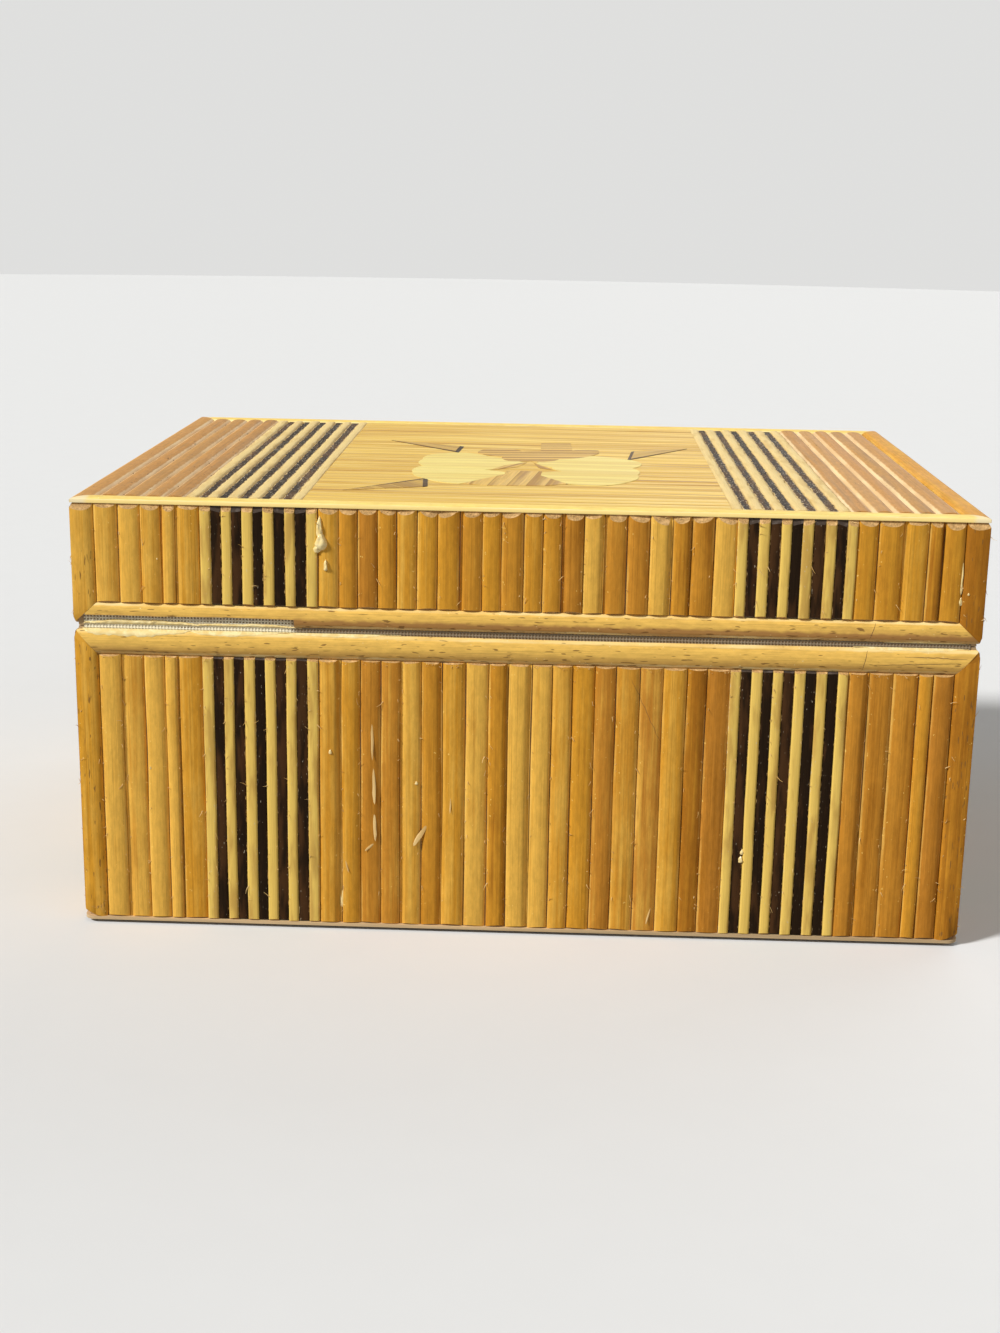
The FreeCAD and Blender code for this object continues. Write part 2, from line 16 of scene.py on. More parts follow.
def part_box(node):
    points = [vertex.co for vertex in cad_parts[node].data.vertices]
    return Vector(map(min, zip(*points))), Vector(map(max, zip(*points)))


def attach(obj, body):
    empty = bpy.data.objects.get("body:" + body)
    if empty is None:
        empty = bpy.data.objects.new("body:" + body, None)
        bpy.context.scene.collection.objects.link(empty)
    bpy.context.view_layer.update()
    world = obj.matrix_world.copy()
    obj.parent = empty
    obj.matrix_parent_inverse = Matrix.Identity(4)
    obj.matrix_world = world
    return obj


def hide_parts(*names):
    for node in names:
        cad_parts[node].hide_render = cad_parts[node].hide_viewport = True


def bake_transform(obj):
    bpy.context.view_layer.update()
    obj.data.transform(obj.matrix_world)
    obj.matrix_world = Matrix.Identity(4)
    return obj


bl_info = {
    "name": "Reed Box",
    "version": (1, 0, 0),
    "blender": (4, 5, 0),
    "location": "View3D > Sidebar > Reed Box",
    "description": "Models the veneer, cloth hinge and straw flower of a hinged-lid box",
    "category": "Add Mesh",
}

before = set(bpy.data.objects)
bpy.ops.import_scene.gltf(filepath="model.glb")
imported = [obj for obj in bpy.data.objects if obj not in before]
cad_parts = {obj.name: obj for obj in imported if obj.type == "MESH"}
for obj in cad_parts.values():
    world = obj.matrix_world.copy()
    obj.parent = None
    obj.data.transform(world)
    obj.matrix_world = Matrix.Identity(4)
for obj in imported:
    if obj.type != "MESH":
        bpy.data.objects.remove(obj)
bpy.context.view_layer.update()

MM = 0.001
TINY = 1e-6              # shorter lengths are rounding errors
ALONG_X = Vector((1, 0, 0))
ALONG_Y = Vector((0, 1, 0))
UP = Vector((0, 0, 1))
FACES = {
    "hinge": Vector((0, -1, 0)),
    "right": ALONG_X,
    "opening": ALONG_Y,
    "left": Vector((-1, 0, 0)),
}
BODIES = ("base", "lid")
SKIN = 0                 # material index of a strip's surface
CUT = 1                  # material index of its cut ends
SHARP_ANGLE = math.radians(60)

# Places that the CAD model gives
BOARD_LOW, BOARD_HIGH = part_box("base_bottom_board")
VENEER_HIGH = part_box("base_sole_sheet")[1]
TOP_BOARD_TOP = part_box("lid_top_board")[1].z
SEAM = (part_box("base_hinge_wall")[1].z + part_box("lid_hinge_wall")[0].z) / 2
STILE_WIDTH = 6.3 * MM   # these five are the CAD source's own values
CORNER_EDGE = 1.0 * MM
RAIL_EDGE = 0.55 * MM
REED_CROWN = 1.5 * MM
SPLIT_LENGTH = 60 * MM
SPLIT_END = BOARD_LOW.x + SPLIT_LENGTH

# Shapes of the strips
SEEDS = 50               # a strip draws the seed of its noise from 0 to this
SWAY_ROW = 0.37          # the row of the noise that moves a strip sideways
WIDTH_ROW = Vector((0, 0, 5.3))      # and how far from it lie those for width and crown
CROWN_ROW = Vector((0, 0, 9.1))
SNUG = 0.05 * MM         # added to widths, which closes the CAD's glue lines
MITRE_GAP = 0.03 * MM    # from a cut end to the middle of its mitre
STATIONS = {"base": 9, "lid": 5}     # along an upright reed
STRIP_STATIONS = {"base": 10, "lid": 5, "top": 110}
REED_HEIGHTS = (0.74, 1.0)           # shares of the crown
REED_LEAN = 0.35                     # most that a reed leans to one side
BEVEL_SLOPE = 0.75                   # share of the crown that a worn end slopes over
SPLIT_SLOPE = Vector((0, 0.35, -1))  # faces out of the torn side of the split rail
SPLINTER_PITCH = 1.7 * MM
SPLINTER_DEPTH = 0.45 * MM
INLAY_STRAW = 5.5 * MM               # width of a flattened straw
INLAY_SINK = 0.16 * MM               # how far the flower's top is lowered
INLAY_BEVEL = 0.07 * MM
CLOTH_PITCH = 0.9 * MM               # from thread to thread
FIBRE_SPACING = 3 * MM
SHORTEST_FIBRE = 0.5 * MM
USUAL_FIBRE = 0.55 * MM              # over the shortest, on average
SLIVER_THICKNESS = 0.16 * MM
SLIVER_LIFT = 0.5 * MM               # of its tip
GLUE_SKIN = 0.05 * MM
CRACK_SKIN = 0.02 * MM
RAY_START = 20 * MM                  # in front of a surface that is looked for

# Marks on the hinge side, in millimetres: x along the box, z up
TORN_SLIVERS = (      # root, tip, width
    ((-26.6, 32.0), (-30.2, 26.0), 1.5),
    ((-41.5, 26.2), (-44.0, 24.0), 0.7),
    ((-41.4, 35.0), (-41.0, 27.0), 0.9),
    ((-41.6, 48.5), (-41.2, 38.0), 0.9),
    ((-42.0, 61.5), (-41.8, 51.0), 0.8),
    ((-19.8, 40.5), (-19.9, 36.0), 0.35),
    ((-49.5, 21.0), (-48.6, 17.5), 0.5),
    ((37.5, 9.0), (36.3, 4.2), 0.5),
)
GLUE_RUNS = {         # x, z, width, height, thickness
    "base": (
        (-53.6, 53.2, 1.1, 1.4, 0.8), (-29.5, 44.5, 1.0, 1.1, 0.7), (62.6, 26.6, 1.5, 1.7, 1.1),
        (62.3, 24.4, 1.6, 2.1, 1.2), (-50.5, 9.0, 1.6, 5.4, 0.6), (-104.5, 47.0, 0.6, 0.9, 0.5),
    ),
    "lid": (
        (-56.2, 116.6, 2.2, 6.4, 2.2), (-55.9, 112.9, 3.5, 5.2, 3.0), (-57.0, 111.0, 2.6, 3.0, 2.4),
        (-54.6, 106.3, 1.4, 3.2, 1.8), (118.0, 106.5, 0.9, 9.0, 0.6), (118.1, 100.2, 1.5, 2.6, 0.9),
        (119.9, 102.4, 0.7, 0.8, 0.6), (-100.9, 107.0, 0.4, 0.6, 0.4),
    ),
}
GLUE_SMEARS = {       # left, right, low, high, thickness
    "base": (
        (-122.5, -92.0, 84.5, 86.9, 0.22), (-94.0, -66.0, 85.3, 86.9, 0.18),
        (-69.0, -34.0, 85.8, 86.9, 0.14), (90.0, 121.5, 85.9, 86.9, 0.10),
    ),
    "lid": (
        (-122.0, -90.0, 88.2, 90.1, 0.40), (-92.0, -61.5, 88.2, 89.4, 0.32),
        (98.0, 121.5, 88.2, 88.7, 0.08),
    ),
}
HAIR_CRACKS = {       # start, end, width
    "base": (
        ((94.0, 86.2), (92.6, 79.9), 0.16),
        ((29.9, 76.0), (38.3, 58.4), 0.10),
        ((96.0, 82.0), (119.0, 83.0), 0.14),
        ((104.0, 84.6), (121.0, 84.2), 0.18),
        ((-118.0, 80.9), (-96.0, 80.7), 0.12),
        ((89.7, 40.0), (88.9, 20.0), 0.10),
    ),
    "lid": (((95.6, 94.0), (94.1, 88.9), 0.16),),
}
PALE_REEDS = {"base": (-104.0, -32.5, 8.0, 63.0), "lid": (21.0, 38.5, 52.5)}   # x of each
REED_HALF = 3.0       # half a reed's width
FOOT_FIBRES = 7       # in the tuft at the left foot

# Tones: spread of the reeds, and painted light that makes the reeds and the stiles lighter to the
# left
TONE_SPREAD = {"base": 0.22, "lid": 0.10}
REED_PAINTED_LIGHT = {"base": 0.8, "lid": 0.5}
STILE_PAINTED_LIGHT = {"base": 0.2, "lid": 0.4}

# Colours that go with those of the settings
NO_TURN = (1, 1, 1)
ORANGE_TURN = (0.78, 0.68, 1.0)      # from a golden reed's colour to an orange one's
STILE_TURN = (0.93, 0.87, 1.0)
BROWN_TURN = (1.03, 0.95, 0.90)
# edge colours of the natural and brown reeds: partly rubbed wear, partly a painted highlight
RUBBED_AND_HIGHLIGHT_REED = (0.86, 0.57, 0.14)
RUBBED_AND_HIGHLIGHT_BROWN = (0.88, 0.67, 0.38)
RUBBED_RAIL = (0.92, 0.72, 0.34)
RUBBED_PALE_RAIL = (0.93, 0.80, 0.44)
BARE_REED = (0.82, 0.71, 0.48)
FLECK = (0.19, 0.090, 0.024)
DARK_RAIL = (0.50, 0.27, 0.065)
PALE_RAIL = ((0.91, 0.64, 0.170), (0.95, 0.76, 0.26))
RAIL_STAINS_AND_SHADE = {       # share, place across where it is full and where it ends, colour; a stain and painted shade on the lower side
    "base": (0.60, -0.70, 0.10, (0.40, 0.205, 0.060)),
    "lid": (0.85, -0.36, 0.04, (0.40, 0.185, 0.060)),
}
DARK_CUT_END = (0.055, 0.032, 0.018)
WORN_DARK = (0.040, 0.027, 0.017)
WORN_PALE = (0.84, 0.63, 0.27)
PALE_STAIN = (0.50, 0.29, 0.065)
DARK_STAIN = (0.075, 0.032, 0.011)
WORN_PALE_STAIN = (0.62, 0.42, 0.16)
WORN_DARK_STAIN = (0.120, 0.065, 0.032)
DUST = (0.66, 0.57, 0.42)
TORN_EDGE = (0.74, 0.54, 0.25)
CARCASS = (0.50, 0.33, 0.16)
SOLE = (0.66, 0.46, 0.24)
CARD = (0.42, 0.33, 0.22)
DARK_PAPER = (0.12, 0.012, 0.014)
FELT = ((0.012, 0.012, 0.014), (0.06, 0.058, 0.06))
AGED_STRAW = (0.58, 0.32, 0.055)
SHINY_STRAW = (0.86, 0.64, 0.19)
BRIGHT_STRAW = (0.90, 0.68, 0.22)
SCORCHED_STRAW = (0.44, 0.22, 0.038)
STRAW_JOINT = (0.40, 0.22, 0.06)
BETWEEN_THREADS = (0.26, 0.18, 0.095)
CLOTH_SOIL = (0.50, 0.36, 0.19)
# painted shade of the cloth in the groove beyond the split
CLOTH_PAINTED_SHADE = (0.13, 0.070, 0.026)
CLOTH_GLUE = (0.88, 0.77, 0.52)
GLUE = ((0.82, 0.61, 0.24), (0.92, 0.76, 0.38))
CRACK = ((0.10, 0.045, 0.015), (0.22, 0.11, 0.04))
FRAYED = ((0.60, 0.35, 0.10), (0.78, 0.53, 0.21))
INLAYS = (            # node, low and high colour, shading across a straw, turns of the grain
    ("flower_pale_petals", (0.78, 0.57, 0.15), (0.88, 0.72, 0.24), 0.0, (0.03, -0.04)),
    ("flower_brown_petals", (0.42, 0.225, 0.050), (0.76, 0.49, 0.13), -0.7,
     (0.12, 1.45, 1.15, 2.0)),
    ("flower_leaf_blades", (0.40, 0.225, 0.050), (0.62, 0.39, 0.095), -0.2, (2.4, 0.9, 2.2)),
    ("flower_leaf_dark_edges", (0.040, 0.024, 0.010), (0.12, 0.072, 0.030), 0.0, (2.3, 0.8)),
)

# Stage
FLOOR_RADIUS = 4.0
FLOOR_BOUNCE = 0.4       # share of its colour that the floor sends back to the box
WORLD_LIGHT = 0.30
LIGHTS = (               # name, direction, angle, strength
    ("Key light", (-0.66, -0.42, 0.63), 0.16, 3.7),
    ("Fill light", (0.62, -0.70, 0.35), 1.0, 0.45),
    ("Back light", (0.45, 0.80, 0.30), 1.0, 1.1),
)
SENSOR_HEIGHT = 36       # in millimetres; the camera's sensor_width, as the picture is upright
NEAREST = 0.02           # that the camera sees


class ReedBoxSettings(bpy.types.PropertyGroup):
    """Sizes and colours that a user would change."""

    reed_sway: bpy.props.FloatProperty(
        name="Reed sway", description="How far a reed wanders sideways",
        default=0.22 * MM, unit="LENGTH")
    reed_swell: bpy.props.FloatProperty(
        name="Reed swell", description="Share by which a reed's crown rises and falls",
        default=0.1, subtype="FACTOR")
    end_chamfer: bpy.props.FloatProperty(
        name="Top chamfer", description="Bevel of the cut ends under the lid's edge rails",
        default=2.0 * MM, unit="LENGTH")
    end_wear: bpy.props.FloatProperty(
        name="End wear", description="Bevel of the other cut ends",
        default=0.45 * MM, unit="LENGTH")
    foot_rounding: bpy.props.FloatProperty(
        name="Foot rounding", description="Rounding of the base's bottom corners",
        default=3.6 * MM, unit="LENGTH")
    fibre_length: bpy.props.FloatProperty(
        name="Fibre length", description="Longest frayed fibre",
        default=2.2 * MM, unit="LENGTH")
    reed_dark: bpy.props.FloatVectorProperty(
        name="Dark reed", description="Colour of the darkest natural reeds",
        default=(0.37, 0.140, 0.010), subtype="COLOR")
    reed_middle: bpy.props.FloatVectorProperty(
        name="Middle reed", description="Colour of most natural reeds",
        default=(0.655, 0.305, 0.024), subtype="COLOR")
    reed_light: bpy.props.FloatVectorProperty(
        name="Light reed", description="Colour of the lightest natural reeds",
        default=(0.78, 0.435, 0.070), subtype="COLOR")
    rail_colour: bpy.props.FloatVectorProperty(
        name="Rail", description="Colour of the rails",
        default=(0.85, 0.515, 0.110), subtype="COLOR")
    pale_colour: bpy.props.FloatVectorProperty(
        name="Pale strip", description="Colour of the pale strips",
        default=(0.86, 0.58, 0.130), subtype="COLOR")
    dark_colour: bpy.props.FloatVectorProperty(
        name="Dark strip", description="Colour of the dark strips",
        default=(0.020, 0.010, 0.004), subtype="COLOR")
    brown_colour: bpy.props.FloatVectorProperty(
        name="Brown reed", description="Colour of the reeds on top",
        default=(0.52, 0.275, 0.082), subtype="COLOR")
    pith_colour: bpy.props.FloatVectorProperty(
        name="Pith", description="Colour of cut reed ends",
        default=(0.66, 0.385, 0.135), subtype="COLOR")
    straw_colour: bpy.props.FloatVectorProperty(
        name="Straw", description="Colour of the straw field",
        default=(0.78, 0.51, 0.110), subtype="COLOR")
    cloth_colour: bpy.props.FloatVectorProperty(
        name="Hinge cloth", description="Colour of the cloth's threads",
        default=(0.92, 0.84, 0.62), subtype="COLOR")
    paper_colour: bpy.props.FloatVectorProperty(
        name="Lining", description="Colour of the lining paper",
        default=(0.36, 0.035, 0.04), subtype="COLOR")
    floor_colour: bpy.props.FloatVectorProperty(
        name="Floor", description="Colour of the floor",
        default=(0.74, 0.74, 0.73), subtype="COLOR")
    camera_place: bpy.props.FloatVectorProperty(
        name="Camera", description="Where the camera stands",
        default=(7.53 * MM, -583.5 * MM, 205.5 * MM), subtype="TRANSLATION")
    camera_turn: bpy.props.FloatVectorProperty(
        name="Camera turn", description="Camera's yaw to the left, pitch down and roll",
        default=(0.02877, 0.25269, 0.01763), subtype="EULER")
    camera_lens: bpy.props.FloatProperty(
        name="Lens", description="Focal length on a 36 mm high sensor, in millimetres",
        default=49.56)


# Node materials

def times(colour, factor):
    """Colour made darker or lighter."""
    return tuple(factor * part for part in colour)


def lifted(colour, factor, added, most):
    """Colour made lighter and paler, up to a limit."""
    return tuple(min(most, factor * part + added) for part in colour)


class Finish:
    """A node material, with short ways to add and join its nodes."""

    def __init__(self, name):
        self.material = bpy.data.materials.new(name)
        self.material.use_nodes = True
        self.tree = self.material.node_tree
        self.shader = self.tree.nodes["Principled BSDF"]

    def add(self, kind, **values):
        """New node; a value named after a socket sets it, or joins the socket handed in."""
        node = self.tree.nodes.new("ShaderNode" + kind)
        for key, value in values.items():
            if hasattr(node, key) and not key[0].isupper():
                setattr(node, key, value)
            else:
                self.feed(node.inputs[key.replace("_", " ")], value)
        return node

    def feed(self, socket, value):
        """Join an output to a socket, or set the socket to a constant."""
        if isinstance(value, bpy.types.NodeSocket):
            self.tree.links.new(value, socket)
        elif socket.type == "RGBA" and len(value) == 3:
            socket.default_value = (*value, 1)
        else:
            socket.default_value = value

    def math(self, operation, first, second=0.0, third=0.0):
        """Result of a Math node."""
        node = self.add("Math", operation=operation)
        for socket, value in zip(node.inputs, (first, second, third)):
            self.feed(socket, value)
        return node.outputs[0]

    def swing(self, base, value, weight):
        """Base raised or lowered by a value from 0 to 1, whose middle leaves it as it is."""
        return self.math("MULTIPLY_ADD", value, weight, self.math("SUBTRACT", base, weight / 2))

    def mix(self, factor, first, second, blend="MIX"):
        """Colour between two colours."""
        node = self.add("Mix", data_type="RGBA", blend_type=blend)
        self.feed(node.inputs["Factor"], factor)
        self.feed(node.inputs[6], first)
        self.feed(node.inputs[7], second)
        return node.outputs[2]

    def ramp(self, value, start, end, low=0.0, high=1.0):
        """Value mapped smoothly from one range to another, and held at its ends."""
        node = self.add("MapRange", interpolation_type="SMOOTHSTEP")
        for socket, number in zip(node.inputs, (value, start, end, low, high)):
            self.feed(socket, number)
        return node.outputs[0]

    def lay(self, colour, tint, share, value, start, end):
        """Colour under a tint that thickens to a share as a value rises from start to end."""
        return self.mix(self.ramp(value, start, end, 0.0, share), colour, tint)

    def tinted(self, colour, strength):
        """Colour made darker or lighter by a factor."""
        grey = self.add("CombineColor", Red=strength, Green=strength, Blue=strength)
        return self.mix(1.0, colour, grey.outputs[0], "MULTIPLY")

    def place(self):
        """Place on the box."""
        return self.add("TexCoord").outputs["Object"]

    def flat_place(self):
        """Distances across and along the grain."""
        flat = self.add("UVMap", uv_map="Grain").outputs[0]
        return self.add("SeparateXYZ", Vector=flat).outputs[:2]

    def noise(self, vector, scale, detail=2.0, roughness=0.5):
        """Noise between 0 and 1."""
        node = self.add("TexNoise", Vector=vector, Scale=scale, Detail=detail, Roughness=roughness)
        return node.outputs["Fac"]

    def stretched(self, vector, scale, shift=(0, 0, 0), detail=2.0, roughness=0.5):
        """Noise in a space that is stretched and shifted."""
        mapped = self.add("Mapping", Vector=vector, Scale=scale, Location=shift)
        return self.noise(mapped.outputs[0], 1.0, detail, roughness)

    def bump(self, height, distance, strength=1.0, below=None):
        """Normal bent by a height."""
        node = self.add("Bump", Height=height, Distance=distance, Strength=strength)
        if below is not None:
            self.feed(node.inputs["Normal"], below)
        return node.outputs[0]

    def finish(self, colour, roughness, normal=None, **constants):
        """Feed the shader and hand back the material."""
        self.feed(self.shader.inputs["Base Color"], colour)
        self.feed(self.shader.inputs["Roughness"], roughness)
        if normal is not None:
            self.feed(self.shader.inputs["Normal"], normal)
        for key, value in constants.items():
            self.feed(self.shader.inputs[key.replace("_", " ")], value)
        return self.material


class StripFinish(Finish):
    """Finish of a strip: it knows each strip's tone and seed, and the place across and along."""

    SEED_SCALE = 40

    def __init__(self, name):
        super().__init__(name)
        strip = self.add("Attribute", attribute_name="strip").outputs["Vector"]
        self.tone, self.seed, self.across = self.add("SeparateXYZ", Vector=strip).outputs
        self.aside, along = self.flat_place()
        self.grain = self.add("CombineXYZ", X=self.aside, Y=along, Z=self.seed).outputs[0]

    def grained(self, scale, shift=(0, 0), detail=2.0, roughness=0.5):
        """Noise along the grain; the scale is given across and along it, per metre."""
        return self.stretched(self.grain, (*scale, self.SEED_SCALE), (*shift, 0), detail, roughness)


def reed_finish(name, dark, middle, light, warmer=NO_TURN, flecks=0.0, edge_colour=RUBBED_AND_HIGHLIGHT_REED,
                rim_start=0.72, rim_shares=(0.0, 0.42), groove=0.92, stain=None,
                worn_beyond=None):
    """Varnished reed: streaks along it, painted shade in the grooves, rubbed edges that are partly
    a painted highlight, and flecks.

    Warmer turns the middle colour of some reeds, and flecks says how many dark flecks there are.
    The rubbed rim, which is partly a painted highlight, and the painted shade of the groove start
    at shares of the half width. A stain, partly painted shade, browns one long side, and beyond a
    distance from the middle of the box the varnish is worn off.
    """
    finish = StripFinish(name)
    # dark of the streaks, also used for the painted shade in the grooves
    deep = times(dark, 0.45)
    fine = finish.grained((6200, 60), detail=3.0, roughness=0.6)
    broad = finish.grained((950, 20), (3, 0))
    blotch = finish.grained((150, 60), (9, 4), detail=3.0)
    lines = finish.grained((3000, 13), (7, 0), detail=1.0)
    mottle = finish.grained((800, 230), (2, 7), detail=3.0, roughness=0.7)
    wobble = finish.grained((500, 330), (0, 3))
    rubbed = finish.grained((300, 45), (4, 9), detail=3.0)
    ticks = finish.grained((1500, 1000), (1, 8), detail=1.0)
    hue = finish.math("FRACT", finish.math("MULTIPLY", finish.seed, 7.31))
    warm = tuple(part * turn for part, turn in zip(middle, warmer))
    middle = finish.mix(hue, warm, middle)
    shade = finish.swing(finish.tone, broad, 0.75)
    shade = finish.swing(shade, blotch, 0.5)
    colour = finish.mix(finish.ramp(shade, 0.0, 0.5), dark, middle)
    colour = finish.mix(finish.ramp(shade, 0.5, 1.0), colour, light)
    colour = finish.tinted(colour, finish.ramp(fine, 0.28, 0.70, 0.87, 1.05))
    colour = finish.tinted(colour, finish.ramp(mottle, 0.32, 0.68, 0.90, 1.07))
    colour = finish.lay(colour, deep, 0.30, lines, 0.60, 0.76)
    if stain is not None:
        share, full, end, tint = stain
        # stain and painted shade browning the rail's lower long side
        stained_and_shaded = finish.swing(finish.across, wobble, 0.5)
        colour = finish.mix(finish.ramp(stained_and_shaded, full, end, share, 0.0), colour, tint)
    side = finish.math("ABSOLUTE", finish.across)
    edge = finish.swing(side, wobble, 0.16)
    # rubbed wear and a painted highlight along the edges
    rim = finish.math("MULTIPLY", finish.ramp(edge, rim_start, rim_start + 0.14),
                      finish.ramp(rubbed, 0.38, 0.66, *rim_shares))
    colour = finish.mix(rim, colour, edge_colour)
    ticks = finish.math("MULTIPLY_ADD", side, 0.10, ticks)
    colour = finish.lay(colour, edge_colour, 0.8, ticks, 0.79, 0.85)
    # painted shade: the reed darkens in the groove along its edges
    colour = finish.lay(colour, deep, 0.70, edge, groove, groove + 0.1)
    if flecks > 0:
        spot = finish.grained((1700, 270), (0, 5), detail=1.0)
        spot = finish.math("MULTIPLY_ADD", finish.across, -0.05, spot)
        colour = finish.lay(colour, FLECK, 0.8, spot, 0.74 - flecks, 0.79 - flecks)
    if worn_beyond is not None:
        place_x = finish.add("SeparateXYZ", Vector=finish.place()).outputs[0]
        far = finish.math("MULTIPLY_ADD", rubbed, 5 * MM, finish.math("ABSOLUTE", place_x))
        colour = finish.lay(colour, BARE_REED, 0.7, far, worn_beyond + 1 * MM, worn_beyond + 3 * MM)
    normal = finish.bump(fine, 0.05 * MM, 0.5)
    normal = finish.bump(broad, 0.16 * MM, 0.6, normal)
    return finish.finish(colour, finish.ramp(broad, 0.3, 0.7, 0.58, 0.70), normal,
                         Specular_IOR_Level=0.12)


def pith_finish(name, pith):
    """Sawn end of a reed: pale, dry and fibrous."""
    finish = Finish(name)
    place = finish.place()
    pores = finish.noise(place, 3200.0, 3.0, 0.7)
    patch = finish.noise(place, 700.0, 1.0)
    colour = finish.mix(finish.ramp(pores, 0.35, 0.65), times(pith, 0.55), pith)
    colour = finish.lay(colour, lifted(pith, 1.25, 0.05, 0.86), 0.7, patch, 0.5, 0.75)
    return finish.finish(colour, 0.82, finish.bump(pores, 0.15 * MM, 0.9))


def flat_strip_finish(name, colour, low_share, stain, gloss, ragged, dust=0.0):
    """Flat split strip: long soft stains, scuffs, dust, and edges ragged with torn pale fibres."""
    finish = StripFinish(name)
    fine = finish.grained((6500, 80), detail=3.0, roughness=0.6)
    stains = finish.grained((420, 70), (2, 1), detail=3.0)
    scuff = finish.grained((2200, 800), (5, 2))
    torn = finish.grained((900, 620), (6, 0), detail=3.0, roughness=0.65)
    body = finish.mix(finish.ramp(fine, 0.3, 0.7), times(colour, low_share), colour)
    tint = finish.math("MULTIPLY_ADD", finish.tone, 0.25, stains)
    body = finish.lay(body, stain, 0.75, tint, 0.58, 0.84)
    body = finish.lay(body, DUST, 0.6, scuff, 0.70 - dust, 0.78 - dust)
    reach = finish.math("MULTIPLY_ADD", torn, 0.7, finish.math("ABSOLUTE", finish.across))
    body = finish.lay(body, TORN_EDGE, 0.8, reach, 1.30 - ragged, 1.36 - ragged)
    normal = finish.bump(finish.math("ADD", fine, torn), 0.06 * MM, 0.6)
    return finish.finish(body, finish.ramp(stains, 0.3, 0.7, gloss, gloss + 0.14), normal,
                         Specular_IOR_Level=0.06)


def wood_finish(name, colour, along):
    """Plain sawn softwood with its grain along one axis."""
    finish = Finish(name)
    place = finish.place()
    stretch = [9.0 if axis == along else 260.0 for axis in "XYZ"]
    fibre_noise = finish.stretched(place, times(stretch, 5), detail=3.0, roughness=0.6)
    rings = finish.stretched(place, stretch)
    body = finish.mix(finish.ramp(rings, 0.35, 0.65), times(colour, 0.72), colour)
    body = finish.lay(body, times(colour, 0.5), 0.35, fibre_noise, 0.35, 0.7)
    return finish.finish(body, 0.72, finish.bump(fibre_noise, 0.08 * MM, 0.6))


def paper_finish(name, colour):
    """Thin lining paper with a laid texture and rubbed patches."""
    finish = Finish(name)
    place = finish.place()
    fibres = finish.noise(place, 1800.0, 3.0, 0.7)
    rubbed = finish.noise(place, 42.0, 3.0)
    rubbed_colour = lifted(colour, 1.35, 0.02, 1.0)
    body = finish.mix(finish.ramp(rubbed, 0.35, 0.75, 0.0, 0.30), colour, rubbed_colour)
    body = finish.lay(body, DARK_PAPER, 0.25, fibres, 0.3, 0.7)
    return finish.finish(body, 0.78, finish.bump(fibres, 0.06 * MM, 0.7))


def felt_finish(name):
    """Black felt."""
    finish = Finish(name)
    hairs = finish.noise(finish.place(), 2600.0, 4.0, 0.75)
    body = finish.mix(finish.ramp(hairs, 0.35, 0.7), *FELT)
    return finish.finish(body, 0.95, finish.bump(hairs, 0.3 * MM, 0.9), Sheen_Weight=0.3)


def straw_finish(name, colour):
    """Straw marquetry: silky streaks along the straw, some of them scorched."""
    finish = StripFinish(name)
    fine = finish.grained((4200, 20), detail=3.0, roughness=0.6)
    broad = finish.grained((700, 8), (2, 6))
    streak = finish.grained((210, 13), (5, 3))
    scorch = finish.grained((520, 11), (8, 1))
    aged = finish.math("MULTIPLY_ADD", finish.tone, 0.35, broad)
    body = finish.mix(finish.ramp(aged, 0.50, 0.85), colour, AGED_STRAW)
    body = finish.lay(body, SHINY_STRAW, 0.5, fine, 0.35, 0.70)
    body = finish.lay(body, BRIGHT_STRAW, 0.75, streak, 0.50, 0.72)
    body = finish.lay(body, SCORCHED_STRAW, 0.85, scorch, 0.55, 0.68)
    side = finish.math("ABSOLUTE", finish.across)
    body = finish.lay(body, STRAW_JOINT, 0.55, side, 0.93, 1.0)
    return finish.finish(body, finish.ramp(broad, 0.3, 0.7, 0.42, 0.56),
                         finish.bump(fine, 0.05 * MM, 0.6), Specular_IOR_Level=0.05)


def inlay_finish(name, low, high, shading):
    """Inlay built up from flattened straws side by side, each shaded darker to one edge."""
    finish = StripFinish(name)
    count = finish.math("DIVIDE", finish.aside, INLAY_STRAW)
    straw = finish.add("CombineXYZ", X=finish.math("FLOOR", count), Y=finish.seed)
    sheen = finish.add("TexWhiteNoise", noise_dimensions="3D", Vector=straw.outputs[0])
    fine = finish.grained((2600, 60), detail=3.0, roughness=0.6)
    broad = finish.grained((420, 18), (4, 2))
    side = finish.math("SUBTRACT", finish.math("FRACT", count), 0.5)
    shade = finish.math("MULTIPLY_ADD", sheen.outputs["Value"], 0.35,
                        finish.math("SUBTRACT", broad, 0.17))
    shade = finish.math("MULTIPLY_ADD", side, shading, shade)
    body = finish.mix(finish.ramp(shade, 0.30, 0.65), low, high)
    body = finish.lay(body, times(low, 0.6), 0.3, fine, 0.35, 0.7)
    joint = finish.math("ABSOLUTE", side)
    body = finish.lay(body, times(low, 0.45), 0.60, joint, 0.470, 0.495)
    return finish.finish(body, finish.ramp(broad, 0.3, 0.7, 0.42, 0.54),
                         finish.bump(fine, 0.04 * MM, 0.5), Specular_IOR_Level=0.05)


